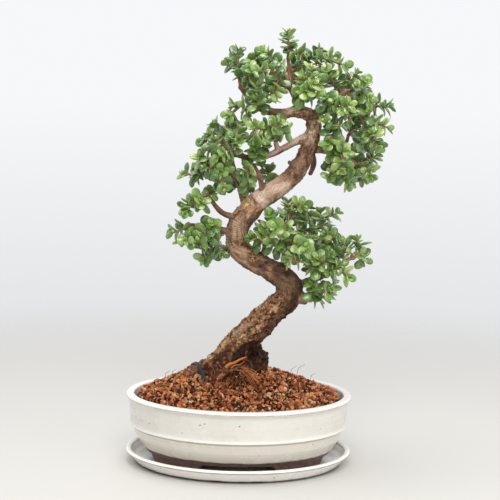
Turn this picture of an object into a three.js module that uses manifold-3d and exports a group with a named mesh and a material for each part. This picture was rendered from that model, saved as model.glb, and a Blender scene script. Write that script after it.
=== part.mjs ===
// A dwarf jade bonsai in an oval glazed pot that stands in a matching drip tray.
// Units are millimetres. +Z is up, -Y is the front, the origin is the middle of the tray's underside.
// The tree is an S-curved trunk grown as one piece with its branches, and leafy sprays that grow from it.

import * as THREE from "three";
import { mergeVertices } from "three/addons/utils/BufferGeometryUtils.js";
import Module from "manifold-3d";

const wasm = await Module();
wasm.setup();

// Driving dimensions of the ceramics
const OVAL_LONG_HALF = 135.5;
const OVAL_NARROWING = 26; // the oval is this much narrower, on each half, from front to back
const CLEARANCE = 0.3; // between pieces that rest on or in each other
const ROUND_STEPS = 28;
const SHORTEST_EDGE = 0.02; // joins and cuts leave no slivers below this

const TRAY_FLOOR_TOP = 5;
const TRAY_HEIGHT = 18;

const POT_BASE = TRAY_FLOOR_TOP + CLEARANCE;
const POT_HEIGHT = 79.7;
const POT_UNDERSIDE = 11;
const POT_FLOOR_TOP = 18;
const NOTCH_HEIGHT = 10.5;
const FRONT_NOTCH_WIDTH = 88;
const END_NOTCH_WIDTH = 66;
const DRAIN_HOLE_X = 52;
const DRAIN_HOLE_RADIUS = 8;
const SCREEN_SIDE = 32;
const SCREEN_THICK = 1.6;

// Driving dimensions of the soil
const SOIL_EDGE_DROP = 4.5; // below the pot's rim, at the wall
const RIDGE = { left: -48, right: 36, y: 4, leftFall: 76, rightFall: 88, sideFall: 92, height: 35 };
const GRAIN_RELIEF = 1.7;
const SOIL_RINGS = 9;
const SOIL_SEGMENTS = 34;

// Driving dimensions of the tree
const FIT_GAP = 0.35; // round whatever grows into or out of another piece
const LEAF = { length: 17, width: 13.4, thick: 2.3 };
const SHOOT_RADIUS = 1.25;
const TWIG_RADIUS = 1.9;

const v3 = (x, y, z) => new THREE.Vector3(x, y, z);

// Seeded random numbers, the same on every run
function randomFrom(seed) {
  let state = seed >>> 0;
  return () => {
    state = (state + 0x6d2b79f5) >>> 0;
    let t = state;
    t = Math.imul(t ^ (t >>> 15), t | 1);
    t ^= t + Math.imul(t ^ (t >>> 7), t | 61);
    return ((t ^ (t >>> 14)) >>> 0) / 4294967296;
  };
}

// Geometry to solid and back
function solidOf(geometry) {
  const bare = geometry.clone();
  bare.deleteAttribute("normal");
  bare.deleteAttribute("uv");
  const merged = mergeVertices(bare, 1e-4);
  return new wasm.Manifold(
    new wasm.Mesh({
      numProp: 3,
      vertProperties: merged.attributes.position.array,
      triVerts: new Uint32Array(merged.index.array),
      tolerance: SHORTEST_EDGE,
    }),
  );
}

function geometryOf(solid) {
  const mesh = solid.getMesh();
  const position = new THREE.BufferAttribute(mesh.vertProperties.slice(), 3);
  const geometry = new THREE.BufferGeometry();
  geometry.setAttribute("position", position);
  geometry.setIndex(new THREE.BufferAttribute(mesh.triVerts.slice(), 1));
  geometry.computeVertexNormals();
  return geometry;
}

function indexedSolid(points, index) {
  const geometry = new THREE.BufferGeometry().setFromPoints(points);
  geometry.setIndex(index);
  return solidOf(geometry);
}

const unionOf = (solids) => wasm.Manifold.union(solids);

function largestPiece(solid) {
  return solid.decompose().sort((a, b) => b.volume() - a.volume())[0];
}

// A closed solid through rings of points, capped at both ends
function loft(rings) {
  const count = rings[0].length;
  const index = [];
  for (let ring = 0; ring < rings.length - 1; ring++) {
    for (let i = 0; i < count; i++) {
      const a = ring * count + i;
      const b = ring * count + ((i + 1) % count);
      index.push(a, b, b + count, a, b + count, a + count);
    }
  }
  const last = (rings.length - 1) * count;
  for (let i = 1; i < count - 1; i++) {
    index.push(0, i + 1, i, last, last + i, last + i + 1);
  }
  return indexedSolid(rings.flat(), index);
}

// A tapering round stem along a smooth curve through its points
function stem(points, radii, sides, stepsPerSpan = 2, relief = () => 1) {
  const curve = new THREE.CatmullRomCurve3(points, false, "centripetal");
  const steps = (points.length - 1) * stepsPerSpan;
  const rings = [];
  let normal = v3(0.31, -0.92, 0.24);
  for (let step = 0; step <= steps; step++) {
    const t = step / steps;
    const centre = curve.getPoint(t);
    const tangent = curve.getTangent(t);
    normal = normal.clone().addScaledVector(tangent, -normal.dot(tangent)).normalize();
    const binormal = tangent.clone().cross(normal);
    const span = Math.min(Math.floor(step / stepsPerSpan), points.length - 2);
    const share = step / stepsPerSpan - span;
    const radius = radii[span] * (1 - share) + radii[span + 1] * share;
    const ring = [];
    for (let side = 0; side < sides; side++) {
      const angle = (2 * Math.PI * side) / sides;
      const r = radius * relief(step, angle);
      ring.push(
        centre
          .clone()
          .addScaledVector(normal, r * Math.cos(angle))
          .addScaledVector(binormal, r * Math.sin(angle)),
      );
    }
    rings.push(ring);
  }
  return loft(rings);
}

// Oval ceramics: a lathe whose rings are all narrowed by the same amount from front to back
function ovalLathe(profile, flatRadius) {
  const lathe = new THREE.LatheGeometry(
    profile.map(([r, z]) => new THREE.Vector2(r, z)),
    ROUND_STEPS,
  );
  const position = lathe.attributes.position;
  for (let i = 0; i < position.count; i++) {
    const x = position.getX(i);
    const height = position.getY(i);
    const across = -position.getZ(i);
    const radius = Math.hypot(x, across);
    const narrowing = OVAL_NARROWING * Math.min(1, radius / flatRadius);
    const squeeze = radius > 0 ? (radius - narrowing) / radius : 1;
    position.setXYZ(i, x, across * squeeze, height);
  }
  return solidOf(lathe);
}

function roundEndedSlot(width, height, depth) {
  const half = width / 2;
  const bend = height * 0.75;
  const outline = new THREE.Shape();
  outline.moveTo(-half - bend * 0.4, -2);
  outline.lineTo(half + bend * 0.4, -2);
  outline.lineTo(half, height - bend);
  outline.quadraticCurveTo(half - 1, height, half - bend, height);
  outline.lineTo(-half + bend, height);
  outline.quadraticCurveTo(-half + 1, height, -half, height - bend);
  const slab = new THREE.ExtrudeGeometry(outline, {
    depth,
    bevelEnabled: false,
    curveSegments: 3,
  });
  slab.rotateX(Math.PI / 2).translate(0, depth / 2, 0);
  return slab;
}

function buildPot() {
  const rim = OVAL_LONG_HALF;
  const body = ovalLathe(
    [
      [0, POT_UNDERSIDE],
      [98.5, POT_UNDERSIDE],
      [100, 0],
      [108, 0],
      [111, 11],
      [119.5, 22],
      [125, 34],
      [127.2, 40.5],
      [130.4, 42.2],
      [129.3, 47.5],
      [132, 73],
      [rim, 75.8],
      [rim - 1.4, POT_HEIGHT],
      [126, POT_HEIGHT],
      [122.5, 60],
      [118.5, 30],
      [108, POT_FLOOR_TOP],
      [0, POT_FLOOR_TOP],
    ],
    98.5,
  );
  const frontNotch = solidOf(roundEndedSlot(FRONT_NOTCH_WIDTH, NOTCH_HEIGHT, 300));
  const endNotch = solidOf(
    roundEndedSlot(END_NOTCH_WIDTH, NOTCH_HEIGHT, 300).rotateZ(Math.PI / 2),
  );
  const drains = [-1, 1].map((side) =>
    solidOf(
      new THREE.CylinderGeometry(DRAIN_HOLE_RADIUS, DRAIN_HOLE_RADIUS, 30, 16)
        .rotateX(Math.PI / 2)
        .translate(side * DRAIN_HOLE_X, 0, POT_FLOOR_TOP),
    ),
  );
  return body
    .subtract(unionOf([frontNotch, endNotch, ...drains]))
    .translate([0, 0, POT_BASE]);
}

function buildTray() {
  return ovalLathe(
    [
      [0, 0],
      [118.5, 0],
      [122.5, 1.8],
      [132.8, 13],
      [OVAL_LONG_HALF, 15.6],
      [OVAL_LONG_HALF - 2, TRAY_HEIGHT],
      [130, TRAY_HEIGHT - 0.6],
      [124.5, TRAY_FLOOR_TOP],
      [0, TRAY_FLOOR_TOP],
    ],
    118.5,
  );
}

// A square of coarse plastic mesh that lies over a drain hole
function buildScreen(side) {
  const half = SCREEN_SIDE / 2;
  const square = (x, y, reach) =>
    [[-1, -1], [1, -1], [1, 1], [-1, 1]].map(
      ([i, j]) => new THREE.Vector2(x + i * reach, y + j * reach),
    );
  const outline = new THREE.Shape(square(0, 0, half));
  const openings = [[-7.2, -7.1], [7.2, -7.2], [-7.1, 7.2], [7.1, 7.1]];
  for (const [x, y] of openings) {
    outline.holes.push(new THREE.Path(square(x, y, 6).reverse()));
  }
  const sheet = new THREE.ExtrudeGeometry(outline, {
    depth: SCREEN_THICK,
    bevelEnabled: false,
  });
  sheet.translate(side * DRAIN_HOLE_X, 0, POT_BASE + POT_FLOOR_TOP + CLEARANCE);
  return solidOf(sheet);
}

// The soil fills the pot, heaped up along a ridge under the roots, with a coarse grain over its top
function soilHeight(x, y) {
  const along = Math.max(0, (RIDGE.left - x) / RIDGE.leftFall, (x - RIDGE.right) / RIDGE.rightFall);
  const fall = Math.hypot(along, (y - RIDGE.y) / RIDGE.sideFall);
  return POT_BASE + POT_HEIGHT - SOIL_EDGE_DROP + RIDGE.height * Math.max(0, 1 - fall) ** 1.1;
}

function buildSoil() {
  const random = randomFrom(11);
  const wall = CLEARANCE + 0.2; // a little more than the gap, for the flats between the wall's corners
  const edge = 123.2;
  const levels = [
    [106.5, POT_BASE + POT_FLOOR_TOP + CLEARANCE],
    [117.6, POT_BASE + 30],
    [121.8, POT_BASE + 60],
  ];
  const ringAt = (radius, height) =>
    Array.from({ length: SOIL_SEGMENTS }, (_, i) => {
      const angle = (2 * Math.PI * i) / SOIL_SEGMENTS;
      const r = radius - wall;
      const narrow = OVAL_NARROWING * Math.min(1, r / 98.5);
      const x = r * Math.cos(angle);
      const y = (r - narrow) * Math.sin(angle);
      return v3(x, y, height === null ? soilHeight(x, y) : height);
    });
  const rings = levels.map(([radius, height]) => ringAt(radius, height));
  rings.push(ringAt(edge, null));
  for (let ring = 1; ring < SOIL_RINGS; ring++) {
    const radius = edge * (1 - ring / SOIL_RINGS);
    const twist = ring % 2 ? Math.PI / SOIL_SEGMENTS : 0;
    rings.push(
      ringAt(radius + wall, null).map((p) => {
        const turned = p.clone().applyAxisAngle(v3(0, 0, 1), twist);
        const jitter = (radius / SOIL_SEGMENTS) * 1.6;
        const x = turned.x + (random() - 0.5) * jitter;
        const y = turned.y + (random() - 0.5) * jitter;
        const grain = (random() * 2 - 1) * GRAIN_RELIEF;
        return v3(x, y, soilHeight(x, y) + grain);
      }),
    );
  }
  return loft(rings);
}

// The trunk's centre line from the root crown to the end of its last bend, with the radius at each point
const TRUNK_LINE = [
  [-50, 4, 62, 30],
  [-36, 2, 86, 27],
  [-18, -2, 116, 21.5],
  [0, -5, 143, 17.8],
  [21, -9, 167, 16.2],
  [42, -13, 190, 15.6],
  [54, -15, 204, 15.8],
  [57, -15, 217, 15.4],
  [48, -13, 228, 13.4],
  [28, -8, 238, 12],
  [8, 0, 249, 12.6],
  [-4, 5, 261, 13.2],
  [-6, 8, 275, 13.2],
  [-2, 8, 291, 13.4],
  [9, 6, 305, 13],
  [24, 3, 319, 12.3],
  [41, 0, 331, 11.5],
  [57, -3, 344, 11.1],
  [68, -5, 358, 10.7],
  [75, -6, 375, 10.2],
  [80, -7, 391, 9.4],
  [82, -8, 404, 8.6],
  [79, -9, 414, 8],
  [71, -11, 420, 7.6],
  [61, -13, 422, 7],
  [52, -14, 421, 6.2],
];

// Woody branches that grew as one piece with the trunk: radius at each end, then the points
const BRANCHES = {
  arch_left: [6, 2.8, [60, -12, 421], [37, -16, 420], [16, -17, 426], [-6, -10, 450]],
  arch_left_back: [4.2, 2.6, [40, -15, 420], [26, 2, 424], [14, 20, 436]],
  arch_low: [4.2, 2.4, [50, -14, 420], [42, -14, 407], [20, -30, 402]],
  arch_up: [4.8, 2.2, [65, -10, 422], [57, -8, 446], [50, 0, 484]],
  arch_front: [3.4, 2.2, [58, -9, 440], [52, -26, 448], [42, -40, 452]],
  arch_back: [3.8, 2.3, [56, -7, 444], [54, 16, 456], [50, 38, 464]],
  arch_right: [5.6, 3.2, [76, -8, 416], [95, -8, 426], [121, -5, 448]],
  right_back: [3.8, 2.3, [97, -8, 427], [106, 14, 434], [112, 34, 440]],
  right_tip: [3.2, 2.2, [112, -6, 440], [128, -4, 438], [144, -2, 434]],
  drop_right: [3.8, 2.4, [92, -8, 424], [105, -15, 418], [110, -20, 396]],
  mid_right: [5, 3.4, [78, -5, 379], [102, 3, 375], [135, 8, 361]],
  mid_right_back: [3.8, 2.4, [94, 0, 376], [104, 20, 374], [110, 38, 370]],
  mid_right_rise: [3.2, 2.3, [112, 5, 371], [122, 22, 384], [126, 34, 394]],
  hanging_stub: [4.2, 2.9, [78, -2, 378], [84, 8, 362], [80, 13, 347]],
  loop_left: [5, 2.4, [78, -7, 396], [57, -12, 384], [22, -12, 368], [-8, -7, 370], [-26, -4, 384]],
  loop_spur: [3.4, 2.4, [41, -13, 375], [38, -15, 385], [38, -15, 395]],
  loop_front: [3.2, 2.2, [10, -9, 367], [0, -24, 370], [-6, -34, 378]],
  loop_low: [3, 2.2, [-8, -7, 370], [-26, -6, 366], [-38, -6, 366]],
  inner_up: [4.2, 2.3, [25, 0, 322], [20, -10, 344], [12, -14, 360]],
  back_left: [4.8, 2.5, [4, 9, 306], [-3, 22, 330], [-12, 27, 354], [-16, 26, 384]],
  low_left_up: [4.4, 2.4, [-4, 6, 295], [-24, 1, 301], [-42, -8, 324]],
  far_left: [4.6, 2.5, [-8, 7, 274], [-30, 3, 282], [-62, -3, 286]],
  corner_right: [5.6, 2.6, [58, -14, 215], [92, -10, 227], [130, -3, 250]],
  corner_up: [4.8, 2.3, [52, -12, 224], [51, -6, 258], [55, 0, 294]],
  corner_front: [3.4, 2.2, [52, -7, 262], [58, -24, 268], [66, -36, 270]],
  corner_back: [4, 2.3, [52, -8, 244], [60, 16, 256], [67, 38, 266]],
  corner_mid: [3.8, 2.3, [86, -10, 225], [94, -4, 250], [97, 2, 268]],
  bend_up: [3.6, 2.2, [24, -6, 239], [26, -4, 256], [29, -8, 268]],
  knob: [11, 6.2, [56, -15, 208], [80, -14, 200]],
  inner_stub: [3.6, 2.6, [64, -6, 358], [53, -14, 363]],
};

// Roots that show above the soil, in the same form
const ROOTS = {
  left_root: [18, 9, [-14, 0, 118], [-34, -3, 112], [-54, -4, 104], [-80, -6, 84]],
  stump: [8, 13, [8, 0, 144], [20, 4, 134], [24, 6, 116], [25, 6, 78]],
  root_core: [15, 21, [-2, 8, 132], [10, 11, 112], [14, 13, 66]],
  back_root: [11, 5, [-14, 6, 112], [-22, 30, 100], [-30, 52, 78]],
  front_root: [4.2, 2.8, [6, -6, 121], [-6, -18, 115], [-20, -25, 108], [-30, -32, 90]],
  upper_root: [3.8, 2.8, [8, -3, 131], [-1, -14, 125], [-14, -21, 117], [-22, -27, 100]],
  right_root: [3.4, 2.2, [2, -4, 124], [8, -18, 113], [22, -28, 102], [30, -36, 86]],
};

function tapered(list, first, last) {
  return list.map((_, i) => first + ((last - first) * i) / (list.length - 1));
}

function limb([first, last, ...line], grow, sides, relief) {
  const radii = tapered(line, first + grow, last + grow);
  return stem(line.map((p) => v3(...p)), radii, sides, 1, relief);
}

// Everything woody, grown by an even margin where it is used to cut its neighbours
function woodSolid(grow) {
  const ripples = (step, angle) =>
    1 + 0.05 * Math.sin(3 * angle + 0.7 * step) + 0.035 * Math.sin(5 * angle - 1.9 * step);
  const trunkLine = TRUNK_LINE.map(([x, y, z]) => v3(x, y, z));
  const trunkRadii = TRUNK_LINE.map(([, , , r]) => r + grow);
  return unionOf([
    stem(trunkLine, trunkRadii, 10, 1, ripples),
    ...Object.values(ROOTS).map((root) => limb(root, grow, root[0] > 5 ? 8 : 5, ripples)),
    ...Object.values(BRANCHES).map((branch) => limb(branch, grow, branch[0] > 4.5 ? 6 : 4)),
  ]);
}

// A flat black strap laid over the left root, both ends pushed down into the soil
const STRAP = { width: 5, thick: 1.3, axis: [-0.88, 0.12, -0.46] };
const STRAP_LINE = [
  [-61, 27, 84],
  [-60, 21, 103],
  [-56, 8, 117],
  [-51, -6, 119],
  [-45, -19, 113],
  [-40, -27, 103],
  [-35, -32, 84],
];

function buildStrap(grow) {
  const curve = new THREE.CatmullRomCurve3(STRAP_LINE.map((p) => v3(...p)));
  const axis = v3(...STRAP.axis).normalize();
  const halfWidth = STRAP.width / 2 + grow;
  const halfThick = STRAP.thick / 2 + grow;
  const steps = 9;
  const rings = [];
  for (let i = 0; i <= steps; i++) {
    const centre = curve.getPoint(i / steps);
    const outward = axis.clone().cross(curve.getTangent(i / steps)).normalize();
    const corner = (w, t) =>
      centre
        .clone()
        .addScaledVector(axis, w * halfWidth)
        .addScaledVector(outward, t * halfThick);
    rings.push([corner(1, 1), corner(1, -1), corner(-1, -1), corner(-1, 1)]);
  }
  return loft(rings);
}

// Leafy sprays: where the twig leaves the wood, and the middle of each shoot's leaves
const SPRAYS = {
  top_left: { from: [-5, -10, 449], shoots: [[-6, -12, 483], [9, -22, 462]] },
  top_left_back: { from: [13, 19, 436], shoots: [[20, 30, 475], [7, 26, 451]] },
  top_front: { from: [42, -39, 452], shoots: [[35, -46, 464], [35, -42, 440]] },
  crown_front: { from: [59, -9, 441], shoots: [[68, -40, 444], [73, -34, 465]] },
  apex: { from: [50, 0, 482], shoots: [[49, 0, 506], [64, -8, 488]] },
  apex_left: { from: [51, -1, 470], shoots: [[27, -2, 485], [36, -20, 476]] },
  apex_right: { from: [52, -2, 468], shoots: [[81, 6, 489], [98, -10, 484]] },
  top_back: { from: [50, 37, 464], shoots: [[43, 54, 464], [64, 56, 469]] },
  top_back_right: { from: [51, 32, 461], shoots: [[93, 46, 462]] },
  right_rise: { from: [110, -6, 439], shoots: [[99, -8, 464], [117, 10, 455]] },
  right_high: { from: [120, -5, 447], shoots: [[133, 2, 450], [141, -16, 439]] },
  right_front: { from: [97, -8, 429], shoots: [[93, -46, 436], [115, -44, 429]] },
  right_back: { from: [111, 33, 440], shoots: [[123, 46, 446], [135, 42, 425]] },
  right_tip: { from: [143, -2, 434], shoots: [[165, 0, 429]] },
  arch_front: { from: [22, -18, 423], shoots: [[16, -40, 434], [-6, -24, 427]] },
  arch_low_front: { from: [21, -29, 402], shoots: [[38, -44, 407], [16, -46, 402]] },
  left_mid: { from: [-25, -4, 383], shoots: [[-34, -6, 389], [-16, -4, 401]] },
  left_mid_front: { from: [-6, -33, 377], shoots: [[-10, -46, 386], [-24, -42, 370]] },
  left_mid_back: { from: [-16, 26, 382], shoots: [[-7, 40, 398], [-31, 38, 376]] },
  loop_mid: { from: [12, -11, 368], shoots: [[14, -26, 374], [28, -22, 385]] },
  left_low: { from: [-37, -6, 366], shoots: [[-46, -8, 358], [-51, 2, 344]] },
  left_low_front: { from: [-24, -6, 367], shoots: [[-24, -32, 351]] },
  left_low_back: { from: [-10, 27, 348], shoots: [[-28, 48, 341], [-6, 44, 332]] },
  inner_up: { from: [12, -14, 359], shoots: [[5, -22, 353], [8, 8, 331]] },
  low_left_up: { from: [-42, -8, 323], shoots: [[-62, -12, 311], [-41, 6, 320]] },
  far_left: { from: [-61, -3, 286], shoots: [[-77, -2, 277], [-58, -16, 274]] },
  far_left_mid: { from: [-34, 2, 283], shoots: [[-35, -22, 287]] },
  far_left_back: { from: [-22, 4, 280], shoots: [[-34, 22, 251], [-51, 28, 265]] },
  trunk_leaves: { from: [36, 6, 330], shoots: [[32, 16, 347]] },
  drop_right: { from: [110, -20, 397], shoots: [[96, -40, 408], [98, -40, 388]] },
  mid_right_up: { from: [125, 33, 393], shoots: [[130, 32, 408], [148, 40, 391]] },
  right_low_tip: { from: [118, -6, 430], shoots: [[163, -8, 406], [154, -14, 385]] },
  mid_right: { from: [134, 8, 361], shoots: [[152, 4, 369], [148, -2, 350]] },
  mid_right_front: { from: [96, 0, 376], shoots: [[114, -32, 376]] },
  mid_right_low: { from: [110, 5, 369], shoots: [[102, -12, 350], [122, -6, 340]] },
  mid_right_back: { from: [110, 37, 370], shoots: [[116, 50, 354], [142, 44, 343]] },
  low_top: { from: [55, 0, 292], shoots: [[54, 4, 308], [74, 16, 305]] },
  low_left: { from: [29, -8, 267], shoots: [[17, -14, 271], [34, -2, 295]] },
  low_mid: { from: [54, -14, 265], shoots: [[37, -30, 266], [52, -30, 282]] },
  low_front: { from: [65, -36, 270], shoots: [[72, -54, 267], [57, -46, 252]] },
  low_back: { from: [66, 37, 266], shoots: [[51, 46, 282], [79, 54, 277]] },
  low_right_up: { from: [97, 2, 267], shoots: [[93, 8, 296], [109, -8, 274]] },
  low_right: { from: [92, -10, 228], shoots: [[89, -38, 249], [111, -34, 242]] },
  low_tip: { from: [129, -3, 249], shoots: [[136, 0, 252], [123, 10, 263]] },
  low_right_back: { from: [88, -9, 226], shoots: [[93, 38, 257]] },
  low_hang: { from: [79, -14, 200], shoots: [[99, -10, 205], [84, -26, 216]] },
};
const CROWN_AXIS = { x: 48, y: 0 };
const TIP_REACH = 6; // of a shoot past the middle of its leaves
const TIP_TURN = { out: 1, up: 1.5 };
const SHOOT_SAG = 0.06;
const FORK_AT = 0.36; // of the first shoot's length
const TWIG_MARGIN = 0.5; // round a twig, kept free of other sprays
const LEAF_MARGIN = 0.3;

// What is tried for a leaf that has no room: a tilt away from its place and a share of its size
const LEAF_TRIES = [
  [0, 1],
  [0.3, 0.95],
  [-0.3, 0.95],
  [0.15, 0.75],
  [-0.4, 0.72],
  [0.5, 0.66],
];

// Where leaves leave a shoot, from its tip down: distance from the tip, then each pair's sides, size,
// angle off the shoot and shift along it. The pairs cross each other, and the lower ones spread wider.
const LEAF_NODES = [
  {
    back: 4.5,
    leaves: [
      { sides: [0, 2], size: 0.7, lift: 0.6, shift: 3.2 },
      { sides: [1, 3], size: 0.9, lift: 0.92, shift: -1.6 },
    ],
  },
  {
    back: 15.5,
    leaves: [
      { sides: [0, 2], size: 0.97, lift: 1.12, shift: 2 },
      { sides: [1, 3], size: 1, lift: 1.3, shift: -2 },
    ],
  },
];
const NODE_LENGTH = 1.8; // of the stem that a leaf pair clasps
const SHORTEST_BARE = 4; // of the stem below the lowest pair
const LONG_BARE = 18; // a bare stretch above this gets a bend in its middle

// A fleshy obovate leaf: flat under, domed above, its tip bent down a little
const LEAF_RIM = [
  [0.5, 0.5],
  [0.93, 0.25],
];
const LEAF_DROOP = 0.12;

function leafFrame(root, tangent, radial, lift) {
  const along = tangent
    .clone()
    .multiplyScalar(Math.cos(lift))
    .addScaledVector(radial, Math.sin(lift));
  const up = tangent
    .clone()
    .multiplyScalar(Math.sin(lift))
    .addScaledVector(radial, -Math.cos(lift));
  return { root, along, up, side: up.clone().cross(along) };
}

function leafPoints(frame, size, grow = 0) {
  const length = LEAF.length * size;
  const at = (x, y, z) =>
    frame.root
      .clone()
      .addScaledVector(frame.along, x)
      .addScaledVector(frame.side, y)
      .addScaledVector(frame.up, z - (LEAF_DROOP * x * x) / length);
  const rim = (sign) =>
    LEAF_RIM.map(([x, y]) =>
      at(x * length + (x > 0.8 ? grow : 0), sign * (y * LEAF.width * size + grow), -grow),
    );
  return {
    right: rim(-1),
    left: rim(1),
    crown: at(0.55 * length, 0, LEAF.thick * size + grow),
    heel: [-1, 1].map((sign) => at(grow > 0 ? 2 : 0, sign * (0.9 + grow), -grow)),
  };
}

// The leaf alone, a little larger all round, for finding what it would touch
function leafEnvelope(frame, size, grow) {
  const { right, left, crown, heel } = leafPoints(frame, size, grow);
  const outline = [heel[0], ...right, ...left.slice().reverse(), heel[1]];
  const keel = outline
    .reduce((sum, p) => sum.add(p), v3(0, 0, 0))
    .divideScalar(outline.length)
    .addScaledVector(frame.up, -grow);
  const points = [...outline, crown, keel];
  const count = outline.length;
  const index = [];
  for (let i = 0; i < count; i++) {
    const next = (i + 1) % count;
    index.push(count, i, next, count + 1, next, i);
  }
  return indexedSolid(points, index);
}

const shootCurve = ({ line }) => new THREE.CatmullRomCurve3(line, false, "centripetal");

// A spray's shoots: the first goes on from the twig and the others fork off it
function sprayShoots(spray, seed) {
  const random = randomFrom(seed);
  let start = v3(...spray.from);
  return spray.shoots.map((place, order) => {
    const centre = v3(...place);
    const tip = centre.clone().addScaledVector(centre.clone().sub(start).normalize(), TIP_REACH);
    const away = v3(centre.x - CROWN_AXIS.x, centre.y - CROWN_AXIS.y, 0).normalize();
    tip.addScaledVector(away, TIP_TURN.out).add(v3(0, 0, TIP_TURN.up));
    const middle = start.clone().lerp(tip, 0.5);
    const sag = SHOOT_SAG * start.distanceTo(tip);
    middle.addScaledVector(away, 0.5 * sag).add(v3(0, 0, -sag));
    const shoot = {
      line: [start, middle, tip],
      width: order ? SHOOT_RADIUS : TWIG_RADIUS,
      roll: random() * Math.PI,
      leaves: [],
    };
    if (order === 0) start = shootCurve(shoot).getPointAt(FORK_AT);
    return shoot;
  });
}

// Places along a shoot, each with the frame that its square section and its leaves follow
function shootPlaces(shoot) {
  const curve = shootCurve(shoot);
  const length = curve.getLength();
  const shares = [0];
  const nodes = LEAF_NODES.filter(({ back }) => back < length - SHORTEST_BARE).reverse();
  const bare = length - nodes[0].back - NODE_LENGTH;
  if (bare > LONG_BARE) shares.push((0.5 * bare) / length);
  const nodeStarts = [];
  for (const { back } of nodes) {
    nodeStarts.push(shares.length);
    shares.push((length - back - NODE_LENGTH) / length, (length - back) / length);
  }
  let normal = v3(Math.cos(shoot.roll), Math.sin(shoot.roll), 0.37);
  const places = shares.map((share) => {
    const tangent = curve.getTangentAt(share);
    normal = normal.clone().addScaledVector(tangent, -normal.dot(tangent)).normalize();
    const radius = shoot.width + (0.85 * SHOOT_RADIUS - shoot.width) * share;
    const binormal = tangent.clone().cross(normal);
    return { centre: curve.getPointAt(share), tangent, normal, binormal, radius };
  });
  return { places, nodes, nodeStarts };
}

const facing = (place, quarter) => {
  const angle = (quarter * Math.PI) / 2;
  return place.normal
    .clone()
    .multiplyScalar(Math.cos(angle))
    .addScaledVector(place.binormal, Math.sin(angle));
};

// Every place for a leaf on a shoot, the ones at the tip first
function leafSites(shoot) {
  const { places, nodes, nodeStarts } = shootPlaces(shoot);
  const sites = nodeStarts.flatMap((start, order) => {
    const low = places[start];
    const middle = low.centre.clone().lerp(places[start + 1].centre, 0.5);
    return nodes[order].leaves.flatMap(({ sides, size, lift, shift }) =>
      sides.map((quarter) => {
        const radial = facing(low, quarter);
        const root = middle
          .clone()
          .addScaledVector(radial, 0.7 * low.radius)
          .addScaledVector(low.tangent, shift);
        return { start, quarter, radial, root, tangent: low.tangent, size, lift };
      }),
    );
  });
  return sites.reverse();
}

// One closed skin for a shoot: a square stem whose faces open into the leaves that clasp it
function shootSolid(shoot) {
  const { places } = shootPlaces(shoot);
  const points = [];
  const index = [];
  for (const place of places) {
    for (let corner = 0; corner < 4; corner++) {
      const out = facing(place, corner - 0.5).multiplyScalar(place.radius);
      points.push(place.centre.clone().add(out));
    }
  }
  const corner = (ring, i) => 4 * ring + (i % 4);
  const leafAt = (ring, quarter) =>
    shoot.leaves.find((leaf) => leaf.start === ring && leaf.quarter === quarter);
  for (let ring = 0; ring < places.length - 1; ring++) {
    for (let quarter = 0; quarter < 4; quarter++) {
      const low = [corner(ring, quarter), corner(ring, quarter + 1)];
      const high = [corner(ring + 1, quarter), corner(ring + 1, quarter + 1)];
      const leaf = leafAt(ring, quarter);
      if (!leaf) {
        index.push(low[0], low[1], high[1], low[0], high[1], high[0]);
        continue;
      }
      const { right, left, crown } = leafPoints(leaf.frame, leaf.size);
      const first = points.length;
      points.push(crown, ...right, ...left);
      const span = right.length;
      const r = right.map((_, i) => first + 1 + i);
      const l = left.map((_, i) => first + 1 + span + i);
      const rimLoop = [high[0], ...r, ...l.slice().reverse(), high[1]];
      rimLoop.forEach((p, i) => {
        index.push(first, p, rimLoop[(i + 1) % rimLoop.length]);
      });
      const under = [low, ...r.map((point, i) => [point, l[i]])];
      for (let i = 0; i < span; i++) {
        const [a, b] = under[i];
        const [c, d] = under[i + 1];
        index.push(a, b, d, a, d, c);
      }
      index.push(high[0], low[0], r[0], high[1], l[0], low[1]);
    }
  }
  const top = 4 * (places.length - 1);
  index.push(0, 2, 1, 0, 3, 2, top, top + 1, top + 2, top, top + 2, top + 3);
  return indexedSolid(points, index);
}

const meets = (a, b) => {
  const boxA = a.boundingBox();
  const boxB = b.boundingBox();
  const apart = [0, 1, 2].some(
    (k) => boxA.min[k] > boxB.max[k] || boxB.min[k] > boxA.max[k],
  );
  return !apart && !a.intersect(b).isEmpty();
};

// Leaves are set from the tips down over the whole tree, and one that would touch another piece or
// leaf is tilted or shortened first, and left out if it still would
function buildSprays(wood) {
  const sprays = Object.keys(SPRAYS).map((name, order) => ({
    name,
    shoots: sprayShoots(SPRAYS[name], 101 + order),
  }));
  const occupied = [];
  for (const spray of sprays) {
    spray.shoots = spray.shoots.filter((shoot, order) => {
      const line = shootPlaces(shoot).places.slice(order ? 0 : 1).map(({ centre }) => centre);
      line.push(shoot.line[2]);
      const envelope = stem(line, line.map(() => shoot.width + TWIG_MARGIN), 4, 1);
      if (occupied.some((item) => item.spray !== spray && meets(item.solid, envelope))) {
        return false;
      }
      occupied.push({ spray, shoot, solid: envelope });
      return true;
    });
  }
  const shoots = sprays.flatMap((spray) => spray.shoots.map((shoot) => ({ spray, shoot })));
  const most = Math.max(...shoots.map(({ shoot }) => leafSites(shoot).length));
  for (let turn = 0; turn < most; turn++) {
    for (const { spray, shoot } of shoots) {
      const site = leafSites(shoot)[turn];
      if (!site) continue;
      for (const [tilt, share] of LEAF_TRIES) {
        const frame = leafFrame(site.root, site.tangent, site.radial, site.lift + tilt);
        const size = site.size * share;
        const envelope = leafEnvelope(frame, size, LEAF_MARGIN);
        if (meets(envelope, wood)) continue;
        if (occupied.some((item) => item.shoot !== shoot && meets(item.solid, envelope))) {
          continue;
        }
        shoot.leaves.push({ ...site, frame, size });
        occupied.push({ spray, shoot, solid: envelope });
        break;
      }
    }
  }
  return sprays.map(({ name, shoots }) => ({
    name,
    solid: largestPiece(unionOf(shoots.map(shootSolid)).subtract(wood)),
  }));
}

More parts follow.
